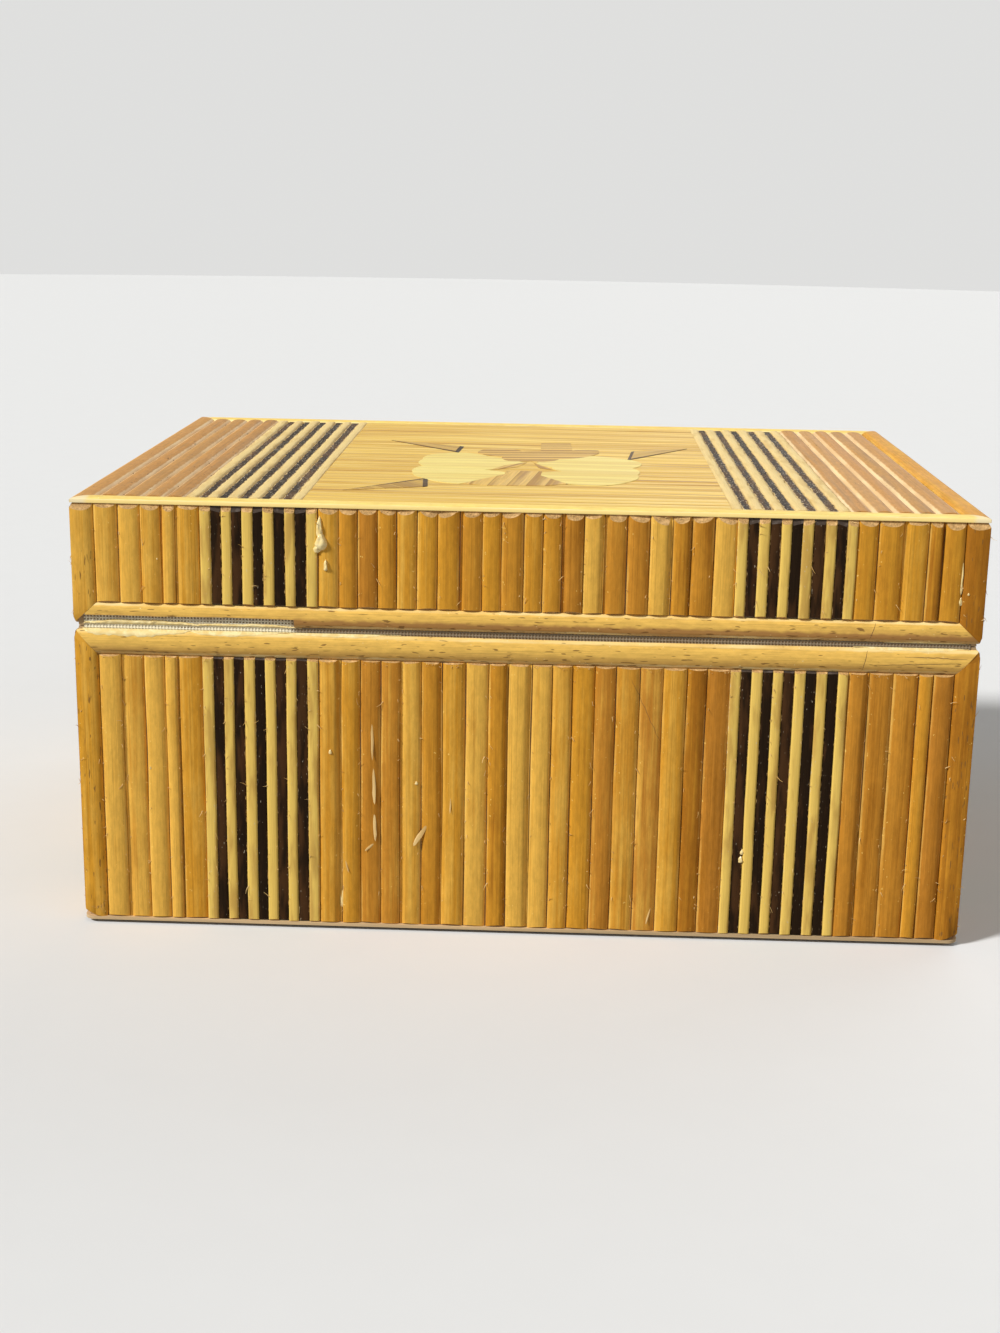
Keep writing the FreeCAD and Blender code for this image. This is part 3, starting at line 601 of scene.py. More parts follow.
def cloth_finish(name, colour, pitch):
    """Open plain weave: stiff with glue where the rail has split off, and darkened by painted shade
    in the groove elsewhere.
    """
    finish = Finish(name)
    aside, along = finish.flat_place()
    place = finish.place()
    turns = 2 * math.pi / pitch
    warp, weft = (finish.math("SINE", finish.math("MULTIPLY", distance, turns))
                  for distance in (aside, along))
    height = finish.math("MULTIPLY_ADD", finish.math("MULTIPLY", warp, weft), 0.35,
                         finish.math("MAXIMUM", warp, weft))
    soil = finish.noise(place, 260.0, 3.0, 0.6)
    glue = finish.stretched(place, (60, 60, 420))
    body = finish.mix(finish.ramp(height, -0.35, 0.45), BETWEEN_THREADS, colour)
    body = finish.lay(body, CLOTH_SOIL, 0.5, soil, 0.50, 0.75)
    # painted shade: beyond the split the cloth lies in the narrow groove under the rails
    covered = finish.ramp(finish.math("MULTIPLY_ADD", soil, 1.5 * MM, aside),
                          SPLIT_END - 1 * MM, SPLIT_END + 2 * MM)
    body = finish.mix(finish.math("MULTIPLY", covered, 0.84), body, CLOTH_PAINTED_SHADE)
    low = finish.ramp(along, 1.2 * MM, 3.4 * MM, 0.32, -0.10)
    glue = finish.math("SUBTRACT", finish.math("ADD", glue, low),
                       finish.math("MULTIPLY", covered, 0.5))
    body = finish.lay(body, CLOTH_GLUE, 0.8, glue, 0.56, 0.68)
    return finish.finish(body, finish.ramp(glue, 0.50, 0.66, 0.85, 0.28),
                         finish.bump(height, 0.16 * MM, 0.9))


def glue_finish(name):
    """Dried glue: cloudy, yellowish and glossy."""
    finish = Finish(name)
    cloud = finish.noise(finish.place(), 520.0, 3.0)
    body = finish.mix(finish.ramp(cloud, 0.35, 0.7), *GLUE)
    return finish.finish(body, finish.ramp(cloud, 0.3, 0.7, 0.14, 0.30),
                         finish.bump(cloud, 0.12 * MM, 0.6), IOR=1.47, Coat_Weight=0.3)


def crack_finish(name):
    """Dark bottom of a hair crack."""
    finish = Finish(name)
    grit = finish.noise(finish.place(), 4000.0, 2.0)
    return finish.finish(finish.mix(grit, *CRACK), 0.9)


def fibre_finish(name):
    """Frayed reed fibre, pale and dry."""
    finish = Finish(name)
    tint = finish.noise(finish.place(), 90.0, 1.0)
    return finish.finish(finish.mix(finish.ramp(tint, 0.35, 0.65), *FRAYED), 0.6)


# Finishes that several operators share

def finish_named(name, make, *arguments, **options):
    """Material of that name, made on first use."""
    return bpy.data.materials.get(name) or make(name, *arguments, **options)


def reed_colours(sizes):
    """The natural reeds' dark, middle and light colours."""
    return tuple(sizes.reed_dark), tuple(sizes.reed_middle), tuple(sizes.reed_light)


def natural_reed_finish(sizes):
    """Finish of the natural reeds on the sides."""
    return finish_named("Natural reed", reed_finish, *reed_colours(sizes), warmer=ORANGE_TURN)


def brown_reed_finish(sizes):
    """Finish of the brown reeds on top, pinkish along their edges, partly rubbed and partly a
    painted highlight.
    """
    brown = tuple(sizes.brown_colour)
    return finish_named("Brown reed", reed_finish, times(brown, 0.70), brown, times(brown, 1.12),
                        warmer=BROWN_TURN, flecks=0.02, edge_colour=RUBBED_AND_HIGHLIGHT_BROWN,
                        rim_start=0.61, rim_shares=(0.55, 0.92), groove=1.0)


def rail_finish(sizes, body):
    """Finish of a body's rim rails, with short dark flecks and the lower long side browned by a
    stain and by painted shade.
    """
    rail = tuple(sizes.rail_colour)
    return finish_named(f"Rail of the {body}", reed_finish, DARK_RAIL, rail, times(rail, 1.05),
                        flecks=0.080, edge_colour=RUBBED_RAIL, rim_start=0.66,
                        rim_shares=(0.25, 0.8), groove=0.96, stain=RAIL_STAINS_AND_SHADE[body])


def pale_rail_finish(sizes):
    """Finish of the front and back rails of the top, rubbed pale."""
    return finish_named("Pale rail", reed_finish, times(sizes.rail_colour, 0.88), *PALE_RAIL,
                        edge_colour=RUBBED_PALE_RAIL, rim_start=0.68, rim_shares=(0.2, 0.7),
                        groove=0.96, worn_beyond=BOARD_HIGH.x - 3 * MM)


def cut_end_finish(sizes):
    """Finish of cut reed ends."""
    return finish_named("Cut reed end", pith_finish, tuple(sizes.pith_colour))


def dress(node, material):
    """Give a CAD node its material."""
    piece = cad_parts[node]
    if not piece.material_slots:
        piece.data.materials.append(material)
    for material_slot in piece.material_slots:
        material_slot.material = material


# Strips

def loose_parts(node):
    """Merged copies of the separate solids of a CAD node."""
    merged = bmesh.new()
    merged.from_mesh(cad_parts[node].data)
    bmesh.ops.remove_doubles(merged, verts=merged.verts[:], dist=TINY)
    merged.verts.index_update()
    waiting = set(merged.verts)
    islands = []
    for first in merged.verts:
        if first not in waiting:
            continue
        waiting.discard(first)
        island = {first.index}
        reached = [first]
        while reached:
            vert = reached.pop()
            for edge in vert.link_edges:
                other = edge.other_vert(vert)
                if other in waiting:
                    waiting.discard(other)
                    island.add(other.index)
                    reached.append(other)
        islands.append(island)
    parts = []
    for island in islands:
        part = merged.copy()
        others = [vert for vert in part.verts if vert.index not in island]
        bmesh.ops.delete(part, geom=others, context="VERTS")
        parts.append(part)
    merged.free()
    return parts


def loose_boxes(node):
    """Lowest and highest corner of each separate solid of a CAD node."""
    boxes = []
    for part in loose_parts(node):
        low = Vector([min(vert.co[axis] for vert in part.verts) for axis in range(3)])
        high = Vector([max(vert.co[axis] for vert in part.verts) for axis in range(3)])
        boxes.append((low, high))
        part.free()
    boxes.sort(key=lambda corners: [round(part, 5) for part in (corners[0] + corners[1])])
    return boxes


def outward_of(low, high):
    """Direction in which a strip faces, from the side of the carcass that it lies on."""
    middle = (low + high) / 2
    if middle.z > TOP_BOARD_TOP:
        return UP
    for outward in FACES.values():
        wall = BOARD_HIGH if max(outward) > 0 else BOARD_LOW
        if (middle - wall).dot(outward) > 0:
            return outward
    raise RuntimeError(f"a strip at {middle} lies inside the carcass")


class Seat:
    """Place of a strip: its directions, width, thickness and length."""

    def __init__(self, low, high, outward, along):
        self.across = outward.cross(along)
        self.outward = outward
        half = (high - low) / 2
        self.width, self.thickness, self.length = (
            2 * abs(half.dot(axis)) for axis in (self.across, outward, along))
        self.origin = (low + high) / 2 - outward * self.thickness / 2 - along * self.length / 2
        self.matrix = Matrix.Identity(4)
        for column, axis in enumerate((self.across, outward, along, self.origin)):
            for row in range(3):
                self.matrix[row][column] = axis[row]

    def take(self, bar):
        """Move a finished bar to the seat, and hand it back."""
        bmesh.ops.transform(bar, matrix=self.matrix, verts=bar.verts[:])
        return bar


def everything(bar):
    """All vertices, edges and faces of a bmesh."""
    return bar.verts[:] + bar.edges[:] + bar.faces[:]


def half_round_bar(seat, arc_steps, stations, fullness=2.2, wider=SNUG):
    """Bar with a flat back on y = 0 and a rounded front, from z = 0 up.

    The front is half an ellipse where fullness is 2, and has squarer shoulders above that.
    """
    bar = bmesh.new()
    bmesh.ops.create_circle(bar, cap_ends=True, segments=2 * arc_steps, radius=1.0)
    bmesh.ops.bisect_plane(bar, geom=everything(bar), dist=1e-5, plane_co=(0, 0, 0),
                           plane_no=(0, -1, 0), clear_outer=True)
    for vert in bar.verts:
        vert.co.x = math.copysign(abs(vert.co.x) ** (2 / fullness), vert.co.x)
        vert.co.y = abs(vert.co.y) ** (2 / fullness)
    half_width = (seat.width + wider) / 2
    bmesh.ops.scale(bar, vec=(half_width, seat.thickness, 1), verts=bar.verts[:])
    sweep_up(bar, seat.length, stations)
    return bar


def flat_bar(seat, stations, rounding, wider=SNUG):
    """Flat strip with softened front edges, its back on y = 0, from z = 0 up."""
    bar = bmesh.new()
    bmesh.ops.create_grid(bar, x_segments=1, y_segments=1, size=0.5)
    bmesh.ops.scale(bar, vec=(seat.width + wider, seat.thickness, 1), verts=bar.verts[:])
    bmesh.ops.translate(bar, vec=(0, seat.thickness / 2, 0), verts=bar.verts[:])
    front = [vert for vert in bar.verts if vert.co.y > seat.thickness / 2]
    bmesh.ops.bevel(bar, geom=front, offset=rounding, affect="VERTICES", segments=2,
                    profile=0.5, material=-1)
    sweep_up(bar, seat.length, stations)
    return bar


def sweep_up(bar, length, stations):
    """Extrude a flat section along Z and divide it into stations."""
    sweep = bmesh.ops.extrude_face_region(bar, geom=bar.faces[:])
    moved = [item for item in sweep["geom"] if isinstance(item, bmesh.types.BMVert)]
    bmesh.ops.translate(bar, vec=(0, 0, length), verts=moved)
    rising = [edge for edge in bar.edges
              if abs(edge.verts[0].co.z - edge.verts[1].co.z) > length / 2]
    bmesh.ops.subdivide_edges(bar, edges=rising, cuts=stations - 1, use_grid_fill=True)


def cut_bar(bar, point, normal, index=CUT):
    """Slice off what lies beyond a plane, and close the cut."""
    cut = bmesh.ops.bisect_plane(bar, geom=everything(bar), dist=1e-7, plane_co=point,
                                 plane_no=normal, clear_outer=True)
    rim = [item for item in cut["geom_cut"] if isinstance(item, bmesh.types.BMEdge)]
    if rim:
        closed = bmesh.ops.edgeloop_fill(bar, edges=rim)
        for face in closed["faces"]:
            face.material_index = index


def cut_corner(bar, corner, outward, aside, index=CUT):
    """Mitre a bar at a corner, on the diagonal between two faces of the box."""
    cut_bar(bar, corner + (outward - aside) * MITRE_GAP, (aside - outward).normalized(), index)


def bevel_end(bar, end, up, crown, size, chance):
    """Slanted cut at one end of an upright bar, not quite square to it."""
    rise = up * BEVEL_SLOPE * crown / size * chance.uniform(0.85, 1.15)
    normal = Vector((chance.uniform(-0.16, 0.16), 1, rise)).normalized()
    cut_bar(bar, Vector((0, crown, end - up * size)), normal)


def bevel_ends(bar, seat, top, foot, foot_shares, chance):
    """Bevel an upright bar at the top, and at the foot by a share of its wear."""
    bevel_end(bar, seat.length, 1, seat.thickness, top, chance)
    bevel_end(bar, 0, -1, seat.thickness, foot * chance.uniform(*foot_shares), chance)


def wander(bar, chance, sway, swell, pitch):
    """Let a bar sway and swell along its length, its back left flat, and hand back its seed."""
    seed = chance.uniform(0, SEEDS)
    for vert in bar.verts:
        here = Vector((seed, vert.co.z / pitch, SWAY_ROW))
        vert.co.x += sway * noise.noise(here)
        vert.co.x *= 1 + 0.3 * swell * noise.noise(here + WIDTH_ROW)
        vert.co.y *= 1 + swell * noise.noise(here + CROWN_ROW)
    return seed


def vary_section(bar, seat, chance):
    """Make a reed lower, lopsided or split along one edge, as its neighbours aren't."""
    height = chance.uniform(*REED_HEIGHTS)
    lean = chance.uniform(-REED_LEAN, REED_LEAN)
    split_side = chance.choice((0, 0, 0, 0, -1, 1))
    width = seat.width + SNUG
    crown = seat.thickness
    for vert in bar.verts:
        vert.co.y *= height
        if 0.3 < abs(vert.co.x) * 2 / width < 0.9:
            vert.co.x += lean * vert.co.y * 0.6
        share = vert.co.x * 2 / width * split_side
        if share > 0.72 and vert.co.y > 0.1 * crown:
            vert.co.y = (0.40 if share > 0.93 else 0.16) * crown


def mark_strip(bar, tone, seed):
    """Grain coordinates, tone and place across, for the materials."""
    grain = bar.loops.layers.uv.new("Grain")
    strip = bar.verts.layers.float_vector.new("strip")
    half = max(abs(vert.co.x) for vert in bar.verts)
    for vert in bar.verts:
        vert[strip] = Vector((tone, seed, vert.co.x / half))
    for face in bar.faces:
        for loop in face.loops:
            loop[grain].uv = (loop.vert.co.x, loop.vert.co.z)


def lay_bar(bar, seat, chance, bends, tones):
    """Let a bar sway and swell, give it a tone from a range, and move it to its seat."""
    seed = wander(bar, chance, *bends)
    mark_strip(bar, chance.uniform(*tones), seed)
    return seat.take(bar)


def mark_inlay(part, tone, seed, turn):
    """Grain coordinates of an inlaid piece, turned about Z."""
    grain = part.loops.layers.uv.new("Grain")
    strip = part.verts.layers.float_vector.new("strip")
    for vert in part.verts:
        vert[strip] = Vector((tone, seed, 0))
    for face in part.faces:
        for loop in face.loops:
            place = loop.vert.co
            loop[grain].uv = (place.y * math.cos(turn) - place.x * math.sin(turn),
                              place.x * math.cos(turn) + place.y * math.sin(turn))


def side_tone(chance, body, place):
    """Tone of a natural reed: the base's differ more, and painted light makes those at the left
    lighter and those at the right a little darker.
    """
    along = place.x / BOARD_HIGH.x
    # painted light: reeds darken a little to the right and lighten towards the left
    tone = chance.gauss(0.46 - 0.05 * along, TONE_SPREAD[body])
    tone += REED_PAINTED_LIGHT[body] * max(0, -along) ** 2
    pale = any(abs(place.x / MM - spot) < REED_HALF for spot in PALE_REEDS[body])
    if pale and place.y < BOARD_LOW.y / 2:
        tone += 0.5
    if chance.random() < 0.08:
        tone += 0.35
    return min(1.0, max(0.0, tone))


def new_object(name, data):
    """Object in the scene, at the origin."""
    piece = bpy.data.objects.new(name, data)
    bpy.context.scene.collection.objects.link(piece)
    return piece


def mesh_object(name, shape):
    """Mesh object made from a bmesh, which is used up."""
    mesh = bpy.data.meshes.new(name)
    shape.to_mesh(mesh)
    shape.free()
    return new_object(name, mesh)


def join_bars(name, bars):
    """One mesh object from many finished bars."""
    joined = bmesh.new()
    scratch = bpy.data.meshes.new("scratch")
    for bar in bars:
        bmesh.ops.recalc_face_normals(bar, faces=bar.faces[:])
        bar.to_mesh(scratch)
        joined.from_mesh(scratch)
        bar.free()
    bpy.data.meshes.remove(scratch)
    for face in joined.faces:
        face.smooth = True
    for edge in joined.edges:
        sides = {face.material_index for face in edge.link_faces}
        edge.smooth = len(sides) == 1 and edge.calc_face_angle(0) < SHARP_ANGLE
    return mesh_object(name, joined)


def add_piece(name, bars, materials, body, nodes=()):
    """Joined bars with their finish, riding on a body, in place of CAD nodes."""
    piece = join_bars(name, bars)
    for material in materials:
        piece.data.materials.append(material)
    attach(piece, body)
    if nodes:
        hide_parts(*nodes)
    return piece


# Places on the box

def surface_at(place, outward):
    """Point of the finished surface in front of a place."""
    graph = bpy.context.evaluated_depsgraph_get()
    hit, point = bpy.context.scene.ray_cast(graph, place + outward * RAY_START, -outward)[:2]
    if not hit:
        raise RuntimeError(f"there is no surface in front of {place}")
    return point


def hinge_side(x, z):
    """Point of the finished surface on the hinge side; x and z are in millimetres."""
    return surface_at(Vector((x * MM, BOARD_LOW.y, z * MM)), FACES["hinge"])


def corner_of(reach, direction):
    """Upright corner that lies in a direction, of the block that reaches as far as given."""
    return Vector((math.copysign(reach.x, direction.x), math.copysign(reach.y, direction.y), 0))


def rim_edges(body):
    """Heights of the rim rails' edges at the seam and away from it, and the way to the seam."""
    low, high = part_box(f"{body}_opening_rim_rail")
    if body == "base":
        return high.z, low.z, UP
    return low.z, high.z, -UP


def mitre_against(bar, body, outward, aside, keep):
    """Cut a rail (keep 1) or a stile (keep -1) along the slanted joint between them."""
    seam_edge, inner_edge, to_seam = rim_edges(body)
    outer = corner_of(BOARD_HIGH, outward + aside) + aside * CORNER_EDGE
    point = Vector((outer.x, outer.y, seam_edge))
    normal = aside * abs(seam_edge - inner_edge) - to_seam * STILE_WIDTH
    normal.normalize()
    cut_bar(bar, point - keep * normal * MITRE_GAP, keep * normal)


def thin_tip(bar, body, outward):
    """Thin a stile's tip as the rail beside it thins towards the seam."""
    seam_edge, inner_edge, to_seam = rim_edges(body)
    reach = abs(BOARD_HIGH.dot(outward)) + RAIL_EDGE
    rise = abs(seam_edge - inner_edge) / 2
    normal = (outward * rise + to_seam * (REED_CROWN - RAIL_EDGE)).normalized()
    cut_bar(bar, Vector((0, 0, seam_edge)) + outward * reach, normal, SKIN)


def round_foot(bar, corner, radius):
    """Round the bottom corner of the box off a stile."""
    diagonal = Vector((math.copysign(1, corner.x), math.copysign(1, corner.y), 0))
    foot = corner + diagonal * CORNER_EDGE + UP * BOARD_LOW.z
    diagonal.normalize()
    centre = foot + (UP - diagonal) * radius
    for degrees in (22, 45, 68):
        angle = math.radians(degrees)
        normal = diagonal * math.cos(angle) - UP * math.sin(angle)
        cut_bar(bar, centre + normal * radius, normal, SKIN)


# Small marks

def draped_patch(columns, rows, thickness, place):
    """Thin closed patch; place gives its points from two shares that run from 0 to 1."""
    patch = bmesh.new()
    bmesh.ops.create_grid(patch, x_segments=columns, y_segments=rows, size=0.5)
    for vert in patch.verts:
        vert.co = place(vert.co.x + 0.5, vert.co.y + 0.5)
    bmesh.ops.recalc_face_normals(patch, faces=patch.faces[:])
    bmesh.ops.solidify(patch, geom=patch.faces[:], thickness=thickness)
    return patch


def fibre(chance, root, direction, lift, length, thickness):
    """Tapered, bent fibre that grows from a point."""
    hair = bmesh.new()
    bmesh.ops.create_cone(hair, cap_ends=True, segments=4, radius1=thickness,
                          radius2=0.3 * thickness, depth=length)
    bmesh.ops.translate(hair, vec=(0, 0, length / 2), verts=hair.verts[:])
    rising = [edge for edge in hair.edges if abs(edge.verts[0].co.z - edge.verts[1].co.z) > TINY]
    bmesh.ops.subdivide_edges(hair, edges=rising, cuts=2)
    bend = Vector((chance.uniform(-0.5, 0.5), chance.uniform(-0.2, 0.5), 0))
    for vert in hair.verts:
        vert.co += bend * vert.co.z ** 2 / length
    direction = direction.normalized()
    side = lift.cross(direction).normalized()
    turn = Matrix((side, direction.cross(side), direction)).transposed().to_4x4()
    bmesh.ops.transform(hair, matrix=Matrix.Translation(root) @ turn, verts=hair.verts[:])
    return hair


def torn_sliver(root, tip, width):
    """Thin sliver, thickest in its middle, that stands off the surface at its tip."""
    span = tip - root
    outward = FACES["hinge"]
    across = span.cross(outward).normalized()
    sliver = bmesh.new()
    bmesh.ops.create_icosphere(sliver, subdivisions=2, radius=0.5)
    for vert in sliver.verts:
        share = vert.co.z + 0.5
        ripple = 1 + 0.5 * noise.noise(vert.co * 3 + root * 1000)
        vert.co = (root + span * share + across * vert.co.x * width * ripple
                   + outward * (vert.co.y * SLIVER_THICKNESS + share ** 2 * SLIVER_LIFT))
    return sliver


def glue_drop(place, width, height, thickness, seed):
    """Run of dried glue: a lumpy drop, fuller at its lower end."""
    drop = bmesh.new()
    bmesh.ops.create_icosphere(drop, subdivisions=3, radius=0.5)
    for vert in drop.verts:
        lump = 1 + 0.45 * noise.noise(vert.co * 3.1 + Vector((seed, 0, 0)))
        full = 1.15 - 0.7 * (vert.co.z + 0.5)
        vert.co = place + Vector((vert.co.x * width * lump * full, vert.co.y * thickness * lump,
                                  vert.co.z * height))
    return drop


def seen_rays(tree):
    """1 for the rays that show a background to the camera, and 0 for those that light the box."""
    paths = tree.nodes.new("ShaderNodeLightPath")
    seen = paths.outputs["Is Camera Ray"]
    for kind in ("Is Glossy Ray", "Is Transmission Ray"):
        either = tree.nodes.new("ShaderNodeMath")
        either.operation = "MAXIMUM"
        tree.links.new(seen, either.inputs[0])
        tree.links.new(paths.outputs[kind], either.inputs[1])
        seen = either.outputs[0]
    return seen


# Operators

class REEDBOX_OT_carcass(bpy.types.Operator):
    """Wooden base and lid, their paper linings, the sole sheet and the felt"""

    bl_idname = "reed_box.carcass"
    bl_label = "Carcass"
    bl_options = {"REGISTER", "UNDO"}

    def execute(self, context):
        sizes = context.scene.reed_box
        wood_along_x = wood_finish("Carcass wood, grain along X", CARCASS, "X")
        wood_along_y = wood_finish("Carcass wood, grain along Y", CARCASS, "Y")
        for body in BODIES:
            for face in FACES:
                wood = wood_along_x if face in ("hinge", "opening") else wood_along_y
                dress(f"{body}_{face}_wall", wood)
        dress("base_bottom_board", wood_along_x)
        dress("lid_top_board", wood_along_x)
        paper = paper_finish("Lining paper", tuple(sizes.paper_colour))
        for node in ("base_floor_lining", "base_wall_linings",
                     "lid_ceiling_lining", "lid_wall_linings"):
            dress(node, paper)
        dress("base_sole_sheet", wood_finish("Sole sheet", SOLE, "X"))
        dress("top_field_card", paper_finish("Card", CARD))
        add_piece("felt_pad", [self.felt_pad()], [felt_finish("Felt")], "base",
                  ["base_felt_pad"])
        return {"FINISHED"}

    def felt_pad(self):
        """Felt with a soft rolled edge."""
        low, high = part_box("base_felt_pad")
        size = high - low
        pad = bmesh.new()
        bmesh.ops.create_grid(pad, x_segments=1, y_segments=1, size=0.5)
        bmesh.ops.scale(pad, vec=(size.x, size.y, 1), verts=pad.verts[:])
        bmesh.ops.bevel(pad, geom=pad.verts[:], offset=3 * MM, affect="VERTICES",
                        segments=6, profile=0.5, material=-1)
        sweep_up(pad, size.z, 1)
        rims = [edge for edge in pad.edges if abs(edge.verts[0].co.z - edge.verts[1].co.z) < TINY]
        bmesh.ops.bevel(pad, geom=rims, offset=0.3 * MM, affect="EDGES", segments=3,
                        profile=0.5, material=-1)
        bmesh.ops.translate(pad, vec=(low + high) / 2 - Vector((0, 0, size.z / 2)),
                            verts=pad.verts[:])
        return pad


class REEDBOX_OT_side_reeds(bpy.types.Operator):
    """Natural half-round reeds on the four sides of the base and the lid"""

    bl_idname = "reed_box.side_reeds"
    bl_label = "Side reeds"
    bl_options = {"REGISTER", "UNDO"}

    FIRST_SEED = 40

    def execute(self, context):
        sizes = context.scene.reed_box
        materials = [natural_reed_finish(sizes), cut_end_finish(sizes)]
        sides = [(body, face) for body in BODIES for face in FACES]
        for number, (body, face) in enumerate(sides):
            node = f"{body}_{face}_reeds"
            chance = random.Random(self.FIRST_SEED + number)
            bars = [self.reed(sizes, chance, Seat(low, high, FACES[face], UP), body)
                    for low, high in loose_boxes(node)]
            add_piece(f"reeds_{body}_{face}", bars, materials, body, [node])
        return {"FINISHED"}

    def reed(self, sizes, chance, seat, body):
        """One upright reed with its two worn cut ends."""
        bar = half_round_bar(seat, 11, STATIONS[body], 2.25)
        vary_section(bar, seat, chance)
        seed = wander(bar, chance, sizes.reed_sway, sizes.reed_swell, 26 * MM)
        mark_strip(bar, side_tone(chance, body, seat.origin), seed)
        top = sizes.end_wear if body == "base" else sizes.end_chamfer
        top *= chance.uniform(0.75, 1.3)
        bevel_ends(bar, seat, top, sizes.end_wear, (0.6, 1.5), chance)
        return seat.take(bar)


class REEDBOX_OT_bands(bpy.types.Operator):
    """Pale and dark strips of the bands, on the sides and on top"""

    bl_idname = "reed_box.bands"
    bl_label = "Bands"
    bl_options = {"REGISTER", "UNDO"}

    def execute(self, context):
        sizes = context.scene.reed_box
        ends = {"pale": cut_end_finish(sizes), "dark": pith_finish("Dark cut end", DARK_CUT_END)}
        side_skins = {
            "pale": flat_strip_finish("Pale strip", tuple(sizes.pale_colour), 0.84, PALE_STAIN,
                                      gloss=0.58, ragged=0.0),
            "dark": flat_strip_finish("Dark strip", tuple(sizes.dark_colour), 0.55, DARK_STAIN,
                                      gloss=0.56, ragged=0.05),
        }
        top_skins = {
            "dark": flat_strip_finish("Worn dark strip", WORN_DARK, 0.55, WORN_DARK_STAIN,
                                      gloss=0.60, ragged=0.31, dust=0.11),
            "pale": flat_strip_finish("Worn pale strip", WORN_PALE, 0.84, WORN_PALE_STAIN,
                                      gloss=0.60, ragged=0.12, dust=0.02),
        }
        for part, body in (("base", "base"), ("lid", "lid"), ("top", "lid")):
            skins = top_skins if part == "top" else side_skins
            for kind, rounding in (("pale", 0.55 * MM), ("dark", 0.30 * MM)):
                node = f"{part}_{kind}_strips"
                chance = random.Random(node)
                bars = []
                for low, high in loose_boxes(node):
                    outward = outward_of(low, high)
                    seat = Seat(low, high, outward, ALONG_Y if outward is UP else UP)
                    bars.append(self.strip(sizes, chance, seat, part, kind, rounding))
                add_piece(f"band_{part}_{kind}", bars, [skins[kind], ends[kind]], body,
                          [node])
        return {"FINISHED"}

    def strip(self, sizes, chance, seat, part, kind, rounding):
        """One flat strip, a little wavy; those on top have splintered edges."""
        wider = 0.14 * MM if (part, kind) == ("top", "pale") else 0.04 * MM
        bar = flat_bar(seat, STRIP_STATIONS[part], rounding, wider)
        seed = wander(bar, chance, sizes.reed_sway * 0.9, sizes.reed_swell * 0.5, 21 * MM)
        mark_strip(bar, chance.random(), seed)
        if part == "top":
            for vert in bar.verts:
                here = Vector((seed, vert.co.z / SPLINTER_PITCH, vert.co.x * 500))
                vert.co.x += SPLINTER_DEPTH * noise.noise(here)
                vert.co.y *= 1.0 if kind == "pale" else 0.88
        else:
            top = sizes.end_wear if part == "base" else sizes.end_chamfer * 0.8
            bevel_ends(bar, seat, top, sizes.end_wear, (0.4, 1.2), chance)
        return seat.take(bar)


class REEDBOX_OT_corner_stiles(bpy.types.Operator):
    """Reeds that stand at the corners, mitred with the rim rails"""

    bl_idname = "reed_box.corner_stiles"
    bl_label = "Corner stiles"
    bl_options = {"REGISTER", "UNDO"}

    SWEPT_WIDER = 1.42       # towards the corner, so that the mitre has something to cut

    def execute(self, context):
        sizes = context.scene.reed_box
        skin = reed_finish("Stile", *reed_colours(sizes), warmer=STILE_TURN, flecks=0.068)
        materials = [skin, cut_end_finish(sizes)]
        for body in BODIES:
            node = f"{body}_corner_stiles"
            chance = random.Random(node)
            bars = [self.stile(sizes, chance, low, high, body) for low, high in loose_boxes(node)]
            add_piece(f"stiles_{body}", bars, materials, body, [node])
        return {"FINISHED"}

    def stile(self, sizes, chance, low, high, body):
        """One stile, swept full width and then cut by its mitres."""
        outward = outward_of(low, high)
        seat = Seat(low, high, outward, UP)
        corner = corner_of(BOARD_HIGH, low + high)
        aside = corner - seat.origin - outward * (corner - seat.origin).dot(outward)
        aside.z = 0
        aside.normalize()
        bar = half_round_bar(seat, 12, STATIONS[body])
        side = 1 if seat.across.dot(aside) > 0 else -1
        for vert in bar.verts:
            if side * vert.co.x > 0:
                vert.co.x *= self.SWEPT_WIDER
        seed = wander(bar, chance, 0.3 * sizes.reed_sway, 0.5 * sizes.reed_swell, 40 * MM)
        # painted light: stiles at the left are lighter and those at the right darker
        tone = chance.uniform(0.35, 0.5) - STILE_PAINTED_LIGHT[body] * corner.x / BOARD_HIGH.x
        mark_strip(bar, tone, seed)
        seat.take(bar)
        cut_corner(bar, corner, outward, aside, SKIN)
        mitre_against(bar, body, outward, aside, -1)
        thin_tip(bar, body, outward)
        if body == "base":
            round_foot(bar, corner, sizes.foot_rounding)
        else:
            point = Vector((corner.x, corner.y, high.z)) + outward * seat.thickness
            slope = outward + UP * BEVEL_SLOPE * seat.thickness / sizes.end_chamfer
            cut_bar(bar, point - UP * sizes.end_chamfer, slope.normalized())
        return bar


